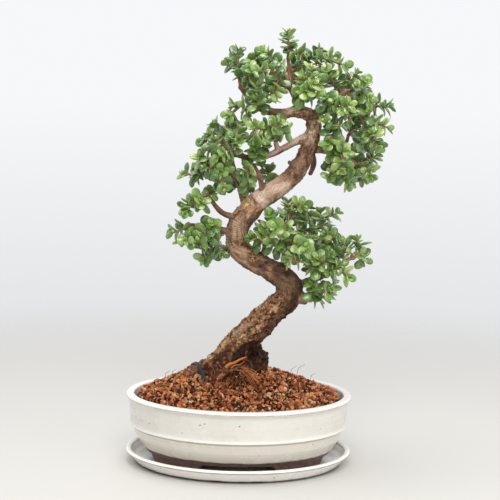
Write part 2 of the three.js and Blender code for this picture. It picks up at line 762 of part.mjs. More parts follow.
// Materials
const finish = (color, roughness) =>
  new THREE.MeshStandardMaterial({ color, roughness, metalness: 0 });
const creamGlaze = finish(0xe9e6dc, 0.25);
const redGrit = finish(0x8f5538, 0.95);
const bark = finish(0x7d6350, 0.85);
const jadeLeaf = finish(0x4d8436, 0.35);
const blackPlastic = finish(0x24272a, 0.5);

function meshOf(name, solid, material) {
  const mesh = new THREE.Mesh(geometryOf(solid), material);
  mesh.name = name;
  return mesh;
}

const wood = woodSolid(0);
const woodMargin = woodSolid(FIT_GAP);
const strapMargin = buildStrap(FIT_GAP);
const screenRecess = [-1, 1].map((side) =>
  solidOf(
    new THREE.BoxGeometry(SCREEN_SIDE + 1, SCREEN_SIDE + 1, 2 * (SCREEN_THICK + 0.6)).translate(
      side * DRAIN_HOLE_X,
      0,
      POT_BASE + POT_FLOOR_TOP + CLEARANCE,
    ),
  ),
);
const soil = buildSoil().subtract(unionOf([woodMargin, strapMargin, ...screenRecess]));

const bonsai = new THREE.Group();
bonsai.add(
  meshOf("drip_tray", buildTray(), creamGlaze),
  meshOf("pot", buildPot(), creamGlaze),
  meshOf("drain_screen_left", buildScreen(-1), blackPlastic),
  meshOf("drain_screen_right", buildScreen(1), blackPlastic),
  meshOf("soil", largestPiece(soil), redGrit),
  meshOf("tie_strap", buildStrap(0), blackPlastic),
  meshOf("trunk", wood.subtract(strapMargin), bark),
);
for (const { name, solid } of buildSprays(woodMargin)) {
  bonsai.add(meshOf("spray_" + name, solid, jadeLeaf));
}

export default bonsai;
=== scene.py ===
import math

import bmesh
import bpy
import numpy as np
from mathutils import Matrix, Quaternion, Vector, kdtree, noise


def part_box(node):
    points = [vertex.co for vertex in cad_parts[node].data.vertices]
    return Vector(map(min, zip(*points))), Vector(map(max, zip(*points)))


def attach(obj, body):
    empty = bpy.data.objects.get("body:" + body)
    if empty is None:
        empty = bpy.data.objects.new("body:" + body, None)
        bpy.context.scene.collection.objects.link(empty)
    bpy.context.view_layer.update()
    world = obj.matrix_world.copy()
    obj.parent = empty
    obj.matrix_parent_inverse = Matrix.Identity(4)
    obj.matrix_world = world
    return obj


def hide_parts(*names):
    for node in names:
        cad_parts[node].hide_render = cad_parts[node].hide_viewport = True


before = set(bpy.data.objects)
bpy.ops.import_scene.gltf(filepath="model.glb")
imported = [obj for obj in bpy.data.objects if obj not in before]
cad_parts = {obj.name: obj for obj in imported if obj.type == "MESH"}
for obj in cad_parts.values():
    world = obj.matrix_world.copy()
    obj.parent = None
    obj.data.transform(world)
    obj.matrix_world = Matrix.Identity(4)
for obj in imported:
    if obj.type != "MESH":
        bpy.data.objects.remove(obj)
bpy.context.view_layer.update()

MM = 0.001
UP = np.array([0.0, 0.0, 1.0])

# The camera stands where the photograph was taken from
CAMERA_PLACE_MM = (10.2, -1500, 430.2)
CAMERA_PITCH = 0.115  # radians, looking down
CAMERA_ROLL = 0.019
CAMERA_LENS = 91.4
CAMERA_SENSOR = 36

# The ceramics, as in the part: height zero is each piece's own underside
OVAL_NARROWING = 26
TRAY_FLAT_RADIUS = 118.5
POT_FLAT_RADIUS = 98.5
POT_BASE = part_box("pot")[0].z / MM
POT_UNDERSIDE = 11
RIM_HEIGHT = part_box("pot")[1].z / MM
FRONT_NOTCH_HALF = 44
END_NOTCH_HALF = 33
NOTCH_HEIGHT = 10.5
ROUND_STEPS = 384
TRAY_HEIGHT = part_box("drip_tray")[1].z / MM
LEDGE_DEPTH = 38  # of the ledge under the pot's rim
NO_LEDGE = -50  # lower than any glaze

# Each profile point is a radius, a height and the size of the rounding at that corner
POT_PROFILE = [
    (0, POT_UNDERSIDE, 0),
    (POT_FLAT_RADIUS, POT_UNDERSIDE, 1),
    (100, 0, 1.2),
    (108, 0, 1.2),
    (111, POT_UNDERSIDE, 2),
    (119.5, 22, 6),
    (125, 34, 5),
    (127.2, 40.5, 0.9),
    (130.4, 42.2, 1.5),
    (129.3, 47.5, 3),
    (132, 73, 2),
    (135.5, 75.8, 1.7),
    (134.1, 79.7, 1.9),
    (126, 79.7, 2),
    (122.5, 60, 5),
    (118.5, 30, 6),
    (108, 18, 4),
    (0, 18, 0),
]
TRAY_PROFILE = [
    (0, 0, 0),
    (TRAY_FLAT_RADIUS, 0, 0.6),
    (122.5, 1.8, 0.9),
    (132.8, 13, 2.5),
    (135.5, 15.6, 1.1),
    (133.5, 18, 1.3),
    (130, 17.4, 1.4),
    (124.5, 5, 3.5),
    (0, 5, 0),
]

# The soil's ridge, as in the part
SOIL_EDGE_DROP = 4.5
RIDGE = {"left": -48, "right": 36, "y": 4, "left_fall": 76, "right_fall": 88, "side_fall": 92, "height": 35}

# The tree's lines, as in the part: the trunk's points with the radius at each, then limbs as
# the radius at both ends and the points
TRUNK_LINE = [
    (-50, 4, 62, 30),
    (-36, 2, 86, 27),
    (-18, -2, 116, 21.5),
    (0, -5, 143, 17.8),
    (21, -9, 167, 16.2),
    (42, -13, 190, 15.6),
    (54, -15, 204, 15.8),
    (57, -15, 217, 15.4),
    (48, -13, 228, 13.4),
    (28, -8, 238, 12),
    (8, 0, 249, 12.6),
    (-4, 5, 261, 13.2),
    (-6, 8, 275, 13.2),
    (-2, 8, 291, 13.4),
    (9, 6, 305, 13),
    (24, 3, 319, 12.3),
    (41, 0, 331, 11.5),
    (57, -3, 344, 11.1),
    (68, -5, 358, 10.7),
    (75, -6, 375, 10.2),
    (80, -7, 391, 9.4),
    (82, -8, 404, 8.6),
    (79, -9, 414, 8),
    (71, -11, 420, 7.6),
    (61, -13, 422, 7),
    (52, -14, 421, 6.2),
]
BRANCHES = {
    "arch_left": [6, 2.8, (60, -12, 421), (37, -16, 420), (16, -17, 426), (-6, -10, 450)],
    "arch_left_back": [4.2, 2.6, (40, -15, 420), (26, 2, 424), (14, 20, 436)],
    "arch_low": [4.2, 2.4, (50, -14, 420), (42, -14, 407), (20, -30, 402)],
    "arch_up": [4.8, 2.2, (65, -10, 422), (57, -8, 446), (50, 0, 484)],
    "arch_front": [3.4, 2.2, (58, -9, 440), (52, -26, 448), (42, -40, 452)],
    "arch_back": [3.8, 2.3, (56, -7, 444), (54, 16, 456), (50, 38, 464)],
    "arch_right": [5.6, 3.2, (76, -8, 416), (95, -8, 426), (121, -5, 448)],
    "right_back": [3.8, 2.3, (97, -8, 427), (106, 14, 434), (112, 34, 440)],
    "right_tip": [3.2, 2.2, (112, -6, 440), (128, -4, 438), (144, -2, 434)],
    "drop_right": [3.8, 2.4, (92, -8, 424), (105, -15, 418), (110, -20, 396)],
    "mid_right": [5, 3.4, (78, -5, 379), (102, 3, 375), (135, 8, 361)],
    "mid_right_back": [3.8, 2.4, (94, 0, 376), (104, 20, 374), (110, 38, 370)],
    "mid_right_rise": [3.2, 2.3, (112, 5, 371), (122, 22, 384), (126, 34, 394)],
    "hanging_stub": [4.2, 2.9, (78, -2, 378), (84, 8, 362), (80, 13, 347)],
    "loop_left": [5, 2.4, (78, -7, 396), (57, -12, 384), (22, -12, 368), (-8, -7, 370), (-26, -4, 384)],
    "loop_spur": [3.4, 2.4, (41, -13, 375), (38, -15, 385), (38, -15, 395)],
    "loop_front": [3.2, 2.2, (10, -9, 367), (0, -24, 370), (-6, -34, 378)],
    "loop_low": [3, 2.2, (-8, -7, 370), (-26, -6, 366), (-38, -6, 366)],
    "inner_up": [4.2, 2.3, (25, 0, 322), (20, -10, 344), (12, -14, 360)],
    "back_left": [4.8, 2.5, (4, 9, 306), (-3, 22, 330), (-12, 27, 354), (-16, 26, 384)],
    "low_left_up": [4.4, 2.4, (-4, 6, 295), (-24, 1, 301), (-42, -8, 324)],
    "far_left": [4.6, 2.5, (-8, 7, 274), (-30, 3, 282), (-62, -3, 286)],
    "corner_right": [5.6, 2.6, (58, -14, 215), (92, -10, 227), (130, -3, 250)],
    "corner_up": [4.8, 2.3, (52, -12, 224), (51, -6, 258), (55, 0, 294)],
    "corner_front": [3.4, 2.2, (52, -7, 262), (58, -24, 268), (66, -36, 270)],
    "corner_back": [4, 2.3, (52, -8, 244), (60, 16, 256), (67, 38, 266)],
    "corner_mid": [3.8, 2.3, (86, -10, 225), (94, -4, 250), (97, 2, 268)],
    "bend_up": [3.6, 2.2, (24, -6, 239), (26, -4, 256), (29, -8, 268)],
    "knob": [11, 6.2, (56, -15, 208), (80, -14, 200)],
    "inner_stub": [3.6, 2.6, (64, -6, 358), (53, -14, 363)],
}
ROOTS = {
    "left_root": [18, 9, (-14, 0, 118), (-34, -3, 112), (-54, -4, 104), (-80, -6, 84)],
    "stump": [8, 13, (8, 0, 144), (20, 4, 134), (24, 6, 116), (25, 6, 78)],
    "root_core": [15, 21, (-2, 8, 132), (10, 11, 112), (14, 13, 66)],
    "back_root": [11, 5, (-14, 6, 112), (-22, 30, 100), (-30, 52, 78)],
    "front_root": [4.2, 2.8, (6, -6, 121), (-6, -18, 115), (-20, -25, 108), (-30, -32, 90)],
    "upper_root": [3.8, 2.8, (8, -3, 131), (-1, -14, 125), (-14, -21, 117), (-22, -27, 100)],
    "right_root": [3.4, 2.2, (2, -4, 124), (8, -18, 113), (22, -28, 102), (30, -36, 86)],
}
STRAP = {"width": 5, "thick": 1.3, "corner": 0.45, "axis": (-0.88, 0.12, -0.46)}
STRAP_STEPS = 48
STRAP_LINE = [
    (-61, 27, 84),
    (-60, 21, 103),
    (-56, 8, 117),
    (-51, -6, 119),
    (-45, -19, 113),
    (-40, -27, 103),
    (-35, -32, 84),
]

# Sprays, as in the part: where the twig leaves the wood, then the middle of each shoot's leaves
SPRAYS = {
    "top_left": [(-5, -10, 449), (-6, -12, 483), (9, -22, 462)],
    "top_left_back": [(13, 19, 436), (20, 30, 475), (7, 26, 451)],
    "top_front": [(42, -39, 452), (35, -46, 464), (35, -42, 440)],
    "crown_front": [(59, -9, 441), (68, -40, 444), (73, -34, 465)],
    "apex": [(50, 0, 482), (49, 0, 506), (64, -8, 488)],
    "apex_left": [(51, -1, 470), (27, -2, 485), (36, -20, 476)],
    "apex_right": [(52, -2, 468), (81, 6, 489), (98, -10, 484)],
    "top_back": [(50, 37, 464), (43, 54, 464), (64, 56, 469)],
    "top_back_right": [(51, 32, 461), (93, 46, 462)],
    "right_rise": [(110, -6, 439), (99, -8, 464), (117, 10, 455)],
    "right_high": [(120, -5, 447), (133, 2, 450), (141, -16, 439)],
    "right_front": [(97, -8, 429), (93, -46, 436), (115, -44, 429)],
    "right_back": [(111, 33, 440), (123, 46, 446), (135, 42, 425)],
    "right_tip": [(143, -2, 434), (165, 0, 429)],
    "arch_front": [(22, -18, 423), (16, -40, 434), (-6, -24, 427)],
    "arch_low_front": [(21, -29, 402), (38, -44, 407), (16, -46, 402)],
    "left_mid": [(-25, -4, 383), (-34, -6, 389), (-16, -4, 401)],
    "left_mid_front": [(-6, -33, 377), (-10, -46, 386), (-24, -42, 370)],
    "left_mid_back": [(-16, 26, 382), (-7, 40, 398), (-31, 38, 376)],
    "loop_mid": [(12, -11, 368), (14, -26, 374), (28, -22, 385)],
    "left_low": [(-37, -6, 366), (-46, -8, 358), (-51, 2, 344)],
    "left_low_front": [(-24, -6, 367), (-24, -32, 351)],
    "left_low_back": [(-10, 27, 348), (-28, 48, 341), (-6, 44, 332)],
    "inner_up": [(12, -14, 359), (5, -22, 353), (8, 8, 331)],
    "low_left_up": [(-42, -8, 323), (-62, -12, 311), (-41, 6, 320)],
    "far_left": [(-61, -3, 286), (-77, -2, 277), (-58, -16, 274)],
    "far_left_mid": [(-34, 2, 283), (-35, -22, 287)],
    "far_left_back": [(-22, 4, 280), (-34, 22, 251), (-51, 28, 265)],
    "trunk_leaves": [(36, 6, 330), (32, 16, 347)],
    "drop_right": [(110, -20, 397), (96, -40, 408), (98, -40, 388)],
    "mid_right_up": [(125, 33, 393), (130, 32, 408), (148, 40, 391)],
    "right_low_tip": [(118, -6, 430), (163, -8, 406), (154, -14, 385)],
    "mid_right": [(134, 8, 361), (152, 4, 369), (148, -2, 350)],
    "mid_right_front": [(96, 0, 376), (114, -32, 376)],
    "mid_right_low": [(110, 5, 369), (102, -12, 350), (122, -6, 340)],
    "mid_right_back": [(110, 37, 370), (116, 50, 354), (142, 44, 343)],
    "low_top": [(55, 0, 292), (54, 4, 308), (74, 16, 305)],
    "low_left": [(29, -8, 267), (17, -14, 271), (34, -2, 295)],
    "low_mid": [(54, -14, 265), (37, -30, 266), (52, -30, 282)],
    "low_front": [(65, -36, 270), (72, -54, 267), (57, -46, 252)],
    "low_back": [(66, 37, 266), (51, 46, 282), (79, 54, 277)],
    "low_right_up": [(97, 2, 267), (93, 8, 296), (109, -8, 274)],
    "low_right": [(92, -10, 228), (89, -38, 249), (111, -34, 242)],
    "low_tip": [(129, -3, 249), (136, 0, 252), (123, 10, 263)],
    "low_right_back": [(88, -9, 226), (93, 38, 257)],
    "low_hang": [(79, -14, 200), (99, -10, 205), (84, -26, 216)],
}
# Short side shoots that the part leaves out: where along a shoot they start, how long they are,
# how often a place is tried and how far the tip keeps from leaves, from wood and from the sides
SIDE_STARTS = (0.5, 0.8)
SIDE_REACH = (14, 23)
SIDE_TRIES = 12
SIDE_GAP = 9.5
WOOD_GAP = 7
SIDE_LIMITS = ((-72, -60, 212), (152, 60, 492))
SPRAY_SEED = 101  # of the part's first spray; the next ones follow on
LEAF_SEED = 400  # of what only this script draws, counted alike
LEAF_LENGTH = 17
LEAF_WIDTH = 13.4
LEAF_THICK = 2.3
LEAF_DROOP = 0.12
SHOOT_RADIUS = 1.25
TWIG_RADIUS = 1.9
CROWN_AXIS = (48, 0)
TIP_REACH = 6
TIP_TURN = {"out": 1, "up": 1.5}
SHOOT_SAG = 0.06
FORK_AT = 0.36
NODE_LENGTH = 1.8
STEM_SIDES = 8
SHORTEST_BARE = 4
LONG_BARE = 18

# Leaves at each node of a shoot, from its tip down: distance from the tip, then each pair's
# sides, size, angle off the shoot and shift along it
LEAF_NODES = [
    (4.5, [((0, 2), 0.7, 0.6, 3.2), ((1, 3), 0.9, 0.92, -1.6)]),
    (15.5, [((0, 2), 0.97, 1.12, 2), ((1, 3), 1, 1.3, -2)]),
]
LEAF_TRIES = [(0, 1), (0.3, 0.95), (-0.3, 0.95), (0.15, 0.75), (-0.4, 0.72), (0.5, 0.66)]


def srgb(red, green, blue):
    """A colour given as it looks on screen, from 0 to 255, as the shader's linear colour."""
    def linear(value):
        share = value / 255
        return share / 12.92 if share <= 0.04045 else ((share + 0.055) / 1.055) ** 2.4

    return (linear(red), linear(green), linear(blue), 1)


# Curves and meshes

def random_from(seed):
    """The same seeded random numbers that the part draws."""
    mask = 0xFFFFFFFF
    state = seed & mask

    def draw():
        nonlocal state
        state = (state + 0x6D2B79F5) & mask
        t = state
        t = ((t ^ (t >> 15)) * (t | 1)) & mask
        t ^= (t + (((t ^ (t >> 7)) * (t | 61)) & mask)) & mask
        return ((t ^ (t >> 14)) & mask) / 4294967296

    return draw


class SmoothLine:
    """A centripetal Catmull-Rom curve through points, as the part's stems follow."""

    DIVISIONS = 200
    TINY = 1e-4

    def __init__(self, points):
        self.points = np.array(points, float)
        steps = np.linspace(0, 1, self.DIVISIONS + 1)
        ways = np.linalg.norm(np.diff([self.at(t) for t in steps], axis=0), axis=1)
        self.lengths = np.concatenate([[0], np.cumsum(ways)])
        self.length = self.lengths[-1]

    def at(self, t):
        points = self.points
        last = len(points) - 1
        place = last * min(max(t, 0), 1)
        span = min(int(place), last - 1)
        share = place - span
        a, b = points[span], points[span + 1]
        before = points[span - 1] if span > 0 else 2 * points[0] - points[1]
        after = points[span + 2] if span + 2 <= last else 2 * points[last] - points[last - 1]
        d0, d1, d2 = (np.sqrt(np.linalg.norm(q - p)) for p, q in ((before, a), (a, b), (b, after)))
        t1 = ((a - before) / d0 - (b - before) / (d0 + d1) + (b - a) / d1) * d1
        t2 = ((b - a) / d1 - (after - a) / (d1 + d2) + (after - b) / d2) * d1
        c2 = -3 * a + 3 * b - 2 * t1 - t2
        c3 = 2 * a - 2 * b + t1 + t2
        return a + t1 * share + c2 * share**2 + c3 * share**3

    def turn(self, t):
        tangent = self.at(min(t + self.TINY, 1)) - self.at(max(t - self.TINY, 0))
        return tangent / np.linalg.norm(tangent)

    def share(self, u):
        """The curve's own parameter at a share of its length."""
        return float(np.interp(u * self.length, self.lengths, np.linspace(0, 1, len(self.lengths))))


def unit(vector):
    return vector / np.linalg.norm(vector)


def circle(count):
    """The angles of points spread evenly round a circle."""
    return np.arange(count) * 2 * math.pi / count


def oval(radius, flat_radius, angles):
    """A circle narrowed from front to back as the ceramics are, and less so inside their flat floor."""
    narrow = OVAL_NARROWING * min(1, radius / flat_radius)
    return radius * np.cos(angles), (radius - narrow) * np.sin(angles)


def strip_faces(rings, count, flip=False):
    """The faces between rings of vertices that follow each other."""
    faces = []
    for ring in range(rings - 1):
        for i in range(count):
            a = ring * count + i
            b = ring * count + (i + 1) % count
            faces.append([b, a, a + count, b + count] if flip else [a, b, b + count, a + count])
    return faces


def closed_faces(rings, count):
    """Such faces, with a cap at both ends."""
    first = list(range(count))[::-1]
    last = [(rings - 1) * count + i for i in range(count)]
    return [first, *strip_faces(rings, count), last]


def store(mesh, name, column):
    """Keeps a number, or a vector, at each vertex of a mesh."""
    kind, key = ("FLOAT", "value") if column.ndim == 1 else ("FLOAT_VECTOR", "vector")
    attribute = mesh.attributes.new(name, kind, "POINT")
    attribute.data.foreach_set(key, column.astype(np.float32).ravel())


class Build:
    """Collects vertices in millimetres, faces and named values at the vertices of one mesh."""

    def __init__(self):
        self.vertices = []
        self.faces = []
        self.values = {}
        self.count = 0

    def add(self, vertices, faces, **values):
        self.vertices.append(np.asarray(vertices, float))
        self.faces.extend([[self.count + i for i in face] for face in faces])
        for name, value in values.items():
            column = np.broadcast_to(np.asarray(value, float), (len(vertices),))
            self.values.setdefault(name, []).append(column)
        self.count += len(vertices)

    def mesh(self, name):
        mesh = bpy.data.meshes.new(name)
        mesh.from_pydata((np.concatenate(self.vertices) * MM).tolist(), [], self.faces)
        for key, columns in self.values.items():
            store(mesh, key, np.concatenate(columns))
        mesh.validate()
        return mesh


def add_piece(name, mesh, material, nodes, smooth=True):
    piece = bpy.data.objects.new(name, mesh)
    bpy.context.scene.collection.objects.link(piece)
    mesh.materials.clear()
    mesh.materials.append(material)
    mesh.polygons.foreach_set("use_smooth", [smooth] * len(mesh.polygons))
    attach(piece, "root")
    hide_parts(*nodes)
    return piece


def tube(line, radii, sides, steps, first_normal, relief=None):
    """The vertices and faces of a stem along a line."""
    count = len(radii) - 1
    normal = np.array(first_normal, float)
    vertices = []
    angles = circle(sides)
    for step in range(steps + 1):
        t = step / steps
        centre = line.at(t)
        tangent = line.turn(t)
        normal = unit(normal - tangent * normal.dot(tangent))
        binormal = np.cross(tangent, normal)
        radius = np.interp(t * count, range(count + 1), radii)
        across = radius * (relief(t * count, angles) if relief else np.ones(sides))
        ring = centre + np.outer(across * np.cos(angles), normal)
        vertices.append(ring + np.outer(across * np.sin(angles), binormal))
    return np.concatenate(vertices), closed_faces(steps + 1, sides)


def rounded(profile, steps=4, longest=4):
    """A profile's outline with its corners rounded and its long straights divided."""
    points = [np.array(p[:2], float) for p in profile]
    outline = [points[0]]
    for i in range(1, len(profile) - 1):
        corner = points[i]
        size = profile[i][2]
        before = unit(points[i - 1] - corner)
        after = unit(points[i + 1] - corner)
        for k in range(steps + 1):
            t = k / steps
            outline.append(corner + before * size * (1 - t) ** 2 + after * size * t**2)
    outline.append(points[-1])
    divided = [outline[0]]
    for point in outline[1:]:
        parts = max(1, math.ceil(np.linalg.norm(point - divided[-1]) / longest))
        start = divided[-1]
        divided.extend(start + (point - start) * k / parts for k in range(1, parts + 1))
    return np.array(divided)


def oval_lathe(profile, flat_radius, base, reshape=None):
    """A closed oval solid: a lathe whose rings are narrowed alike from front to back."""
    outline = rounded(profile)
    rows = outline[1:-1]
    angles = circle(ROUND_STEPS)
    vertices = []
    for radius, height in rows:
        x, y = oval(radius, flat_radius, angles)
        z = np.full(ROUND_STEPS, height)
        if reshape:
            x, y, z = reshape(x, y, z)
        vertices.append(np.stack([x, y, z + base], axis=1))
    faces = strip_faces(len(rows), ROUND_STEPS)
    last = len(rows) * ROUND_STEPS
    centres = [(0, 0, outline[0][1] + base), (0, 0, outline[-1][1] + base)]
    for i in range(ROUND_STEPS):
        j = (i + 1) % ROUND_STEPS
        faces.append([last, j, i])
        faces.append([last + 1, last - ROUND_STEPS + i, last - ROUND_STEPS + j])
    return np.concatenate(vertices + [np.array(centres)]), faces


# Materials

class Shader:
    """Builds one node material around a principled shader."""

    def __init__(self, name, **settings):
        self.material = bpy.data.materials.new(name)
        self.material.use_nodes = True
        self.tree = self.material.node_tree
        self.surface = self.tree.nodes["Principled BSDF"]
        for socket, value in settings.items():
            self.surface.inputs[socket.replace("_", " ")].default_value = value

    def add(self, kind, inputs=None, **settings):
        node = self.tree.nodes.new("ShaderNode" + kind)
        for key, value in settings.items():
            setattr(node, key, value)
        for key, value in (inputs or {}).items():
            self.link(value, node.inputs[key])
        return node

    def link(self, value, socket):
        if isinstance(value, bpy.types.NodeSocket):
            self.tree.links.new(value, socket)
        elif isinstance(value, bpy.types.Node):
            self.tree.links.new(value.outputs[0], socket)
        else:
            socket.default_value = value

    def place(self):
        return self.add("TexCoord").outputs["Object"]

    def value(self, name):
        return self.add("Attribute", attribute_name=name).outputs["Fac"]

    def noise(self, scale, detail=4, roughness=0.55, distortion=0.0, stretch=None, grain=None):
        place = self.add("Attribute", attribute_name=grain).outputs["Vector"] if grain else self.place()
        if stretch:
            place = self.add("Mapping", {"Vector": place, "Scale": stretch})
        inputs = {"Vector": place, "Scale": scale, "Detail": detail, "Roughness": roughness}
        return self.add("TexNoise", {**inputs, "Distortion": distortion}).outputs["Fac"]

    def cells(self, scale):
        return self.add("TexVoronoi", {"Vector": self.place(), "Scale": scale}).outputs["Distance"]

    def math(self, operation, a, b=0.0):
        return self.add("Math", {0: a, 1: b}, operation=operation).outputs[0]

    def times(self, a, b):
        return self.math("MULTIPLY", a, b)

    def plus(self, a, b):
        return self.math("ADD", a, b)

    def most(self, a, b):
        return self.math("MAXIMUM", a, b)

    def fade(self, value, low, high, to_low=0.0, to_high=1.0):
        """Eases from to_low to to_high as value goes from low to high."""
        inputs = {"Value": value, "From Min": low, "From Max": high, "To Min": to_low, "To Max": to_high}
        return self.add("MapRange", inputs, interpolation_type="SMOOTHSTEP").outputs[0]

    def band(self, value, low, full, fade, end):
        """1 where value is between full and fade, easing to 0 at low and at end."""
        return self.times(self.fade(value, low, full), self.fade(value, fade, end, 1, 0))

    def mix(self, share, a, b, blend="MIX"):
        node = self.add("Mix", data_type="RGBA", blend_type=blend)
        self.link(share, node.inputs[0])
        self.link(a, node.inputs[6])
        self.link(b, node.inputs[7])
        return node.outputs[2]

    def layered(self, colour, *layers):
        """A colour under others, each laid over the last by its share."""
        for share, over in layers:
            colour = self.mix(share, colour, over)
        return colour

    def spread(self, value, low, high, dark, light):
        """From a dark to a light colour as value goes from low to high."""
        return self.mix(self.fade(value, low, high), srgb(*dark), srgb(*light))

    def ramp(self, value, stops):
        """A colour for each value, from stops that name a value and the colour there."""
        node = self.add("ValToRGB", {0: value})
        elements = node.color_ramp.elements
        for place, *colour in stops[1:-1]:
            elements.new(place).color = srgb(*colour)
        for element, (place, *colour) in ((elements[0], stops[0]), (elements[-1], stops[-1])):
            element.position = place
            element.color = srgb(*colour)
        return node.outputs[0]

    def height(self):
        """The height in millimetres, for pieces whose origin is the part's."""
        split = self.add("SeparateXYZ", {0: self.place()})
        return self.times(split.outputs[2], 1 / MM)

    def bump(self, height, distance_mm, strength=1.0, normal=None):
        inputs = {"Height": height, "Distance": distance_mm * MM, "Strength": strength}
        if normal is not None:
            inputs["Normal"] = normal
        return self.add("Bump", inputs).outputs[0]

    def finish(self, colour, roughness, normal=None):
        self.link(colour, self.surface.inputs["Base Color"])
        self.link(roughness, self.surface.inputs["Roughness"])
        if normal is not None:
            self.link(normal, self.surface.inputs["Normal"])
        return self.material


def glaze_marks(shader):
    """Brown specks and pinholes, in groups."""
    specks = shader.times(shader.fade(shader.cells(150), 0.05, 0.12, 1, 0),
                          shader.fade(shader.noise(38, detail=1), 0.6, 0.65))
    pinholes = shader.times(shader.fade(shader.cells(330), 0.06, 0.14, 1, 0),
                            shader.fade(shader.noise(60, detail=1), 0.58, 0.64, 0, 0.6))
    return shader.most(specks, pinholes)


def cream_glaze(name, rim_mm, ledge_mm, clay_below_mm, underside_mm, edge_share, painted_light_share=0):
    """Off-white glaze, worn through at the rim, over red-brown clay near the foot, with painted highlight
    whitening the rim and along the ledge, painted shadow under the ledge and a painted contact shadow at the
    bottom edge.
    """
    shader = Shader(name, Coat_Weight=0.4, Coat_Roughness=0.08, Specular_IOR_Level=0.5)
    height = shader.height()
    drift = shader.noise(14, detail=4, roughness=0.6)
    rings = shader.noise(1.0, detail=5, roughness=0.7, stretch=(5, 5, 380))
    grime = shader.noise(70, detail=6, roughness=0.7)
    marks = glaze_marks(shader)
    # painted highlight along the ledge's top and painted shadow under its overhang
    ledge_painted_highlight = shader.band(height, ledge_mm - 0.2, ledge_mm + 0.5, ledge_mm + 2, ledge_mm + 4.5)
    ledge_painted_shadow = shader.band(height, ledge_mm - 3.2, ledge_mm - 1.7, ledge_mm - 0.6, ledge_mm + 0.1)
    outer = shader.band(height, rim_mm - 5, rim_mm - 3.6, rim_mm - 3.2, rim_mm - 2.2)
    crest = shader.fade(height, rim_mm - 0.9, rim_mm - 0.2, 0, 0.35)
    worn = shader.fade(shader.noise(48, detail=4, roughness=0.65), 0.3, 0.6, 0.5 * edge_share, edge_share)
    edge = shader.plus(height, shader.fade(shader.noise(30, detail=2), 0.2, 0.8, -0.9, 0.9))
    glazed = shader.fade(edge, clay_below_mm - 0.35, clay_below_mm + 0.35)
    lip = shader.times(glazed, shader.fade(edge, clay_below_mm + 0.5, clay_below_mm + 2, 0.5, 0))
    body = shader.layered(
        shader.spread(drift, 0.25, 0.75, (215, 210, 200), (225, 223, 218)),
        (shader.fade(height, rim_mm - 52, rim_mm - 10, 0.5, 0), srgb(222, 217, 201)),
        # painted highlight: the rim's lip is whitened
        (shader.fade(height, rim_mm - 7, rim_mm - 1, 0, 0.8), srgb(246, 244, 239)),
        # painted light: the whole glaze is brightened by this share
        (painted_light_share, srgb(250, 248, 244)),
        (shader.fade(rings, 0.5, 0.72, 0, 0.4), srgb(208, 201, 186)),
        (shader.fade(rings, 0.28, 0.46, 0.35, 0), srgb(244, 243, 238)),
        (shader.fade(grime, 0.6, 0.8, 0, 0.3), srgb(198, 184, 160)),
        # painted highlight on the ledge, then painted shadow under it
        (shader.times(ledge_painted_highlight, 0.7), srgb(249, 248, 244)),
        (shader.times(ledge_painted_shadow, 0.75), srgb(172, 162, 142)),
        (marks, srgb(104, 66, 36)),
        (shader.times(shader.most(outer, crest), worn), srgb(150, 120, 90)),
        (lip, srgb(170, 140, 108)),
    )
    clay = shader.spread(shader.noise(160, detail=6, roughness=0.75), 0.3, 0.7, (58, 36, 32), (98, 64, 54))
    # painted contact shadow: near black over the clay within 1.2 mm above underside_mm, at the very bottom
    # edge
    bare = shader.mix(shader.fade(height, underside_mm, underside_mm + 1.2), srgb(26, 24, 28), clay)
    gloss = shader.fade(shader.noise(24, detail=3), 0.3, 0.7, 0.2, 0.32)
    unglazed = shader.fade(glazed, 0, 1, 0.85, 0)
    roughness = shader.most(unglazed, shader.most(gloss, shader.times(marks, 0.5)))
    ripple = shader.plus(shader.times(rings, 0.5), shader.times(marks, -0.6))
    normal = shader.bump(shader.noise(190, detail=4), 0.12, 0.25, shader.bump(ripple, 0.6, 0.5))
    return shader.finish(shader.mix(glazed, bare, body), roughness, normal)


def clay_granules():
    """Baked clay and pumice: each grain has its own tone, dust lies over all, and painted shade darkens the
    bed, the low grains and those under the roots.
    """
    shader = Shader("clay_granules", Specular_IOR_Level=0.2)
    colour = shader.ramp(shader.value("tone"), [
        (0.0, 58, 30, 26),
        (0.16, 104, 56, 42),
        (0.34, 156, 86, 56),
        (0.48, 212, 120, 70),
        (0.6, 216, 142, 84),
        (0.7, 172, 126, 94),
        (0.8, 218, 158, 104),
        (0.92, 228, 180, 128),
        (1.0, 230, 204, 166),
    ])
    blotch = shader.noise(700, detail=4, roughness=0.7)
    colour = shader.mix(shader.fade(blotch, 0.35, 0.7, 0.4, 0), colour, srgb(62, 30, 20), "MULTIPLY")
    dust = shader.noise(330, detail=5, roughness=0.75)
    colour = shader.layered(
        colour,
        (shader.fade(dust, 0.58, 0.8, 0, 0.45), srgb(206, 150, 104)),
        # painted shade: the bed, grains set low in the layer and grains under the roots are darkened
        (shader.math("SUBTRACT", 1.0, shader.value("shade")), srgb(34, 17, 12)),
    )
    normal = shader.bump(shader.noise(900, detail=5, roughness=0.75), 0.5, 0.7)
    normal = shader.bump(shader.cells(1500), 0.25, 0.5, normal)
    return shader.finish(colour, 0.92, normal)


def bark_rings(shader):
    """The height of fine rings round a stem, from 0 to 1."""
    wander = shader.times(shader.noise(34, detail=3), 15)
    phase = shader.plus(shader.times(shader.value("run"), 2.2), wander)
    return shader.times(shader.plus(shader.math("SINE", phase), 1.0), 0.5)


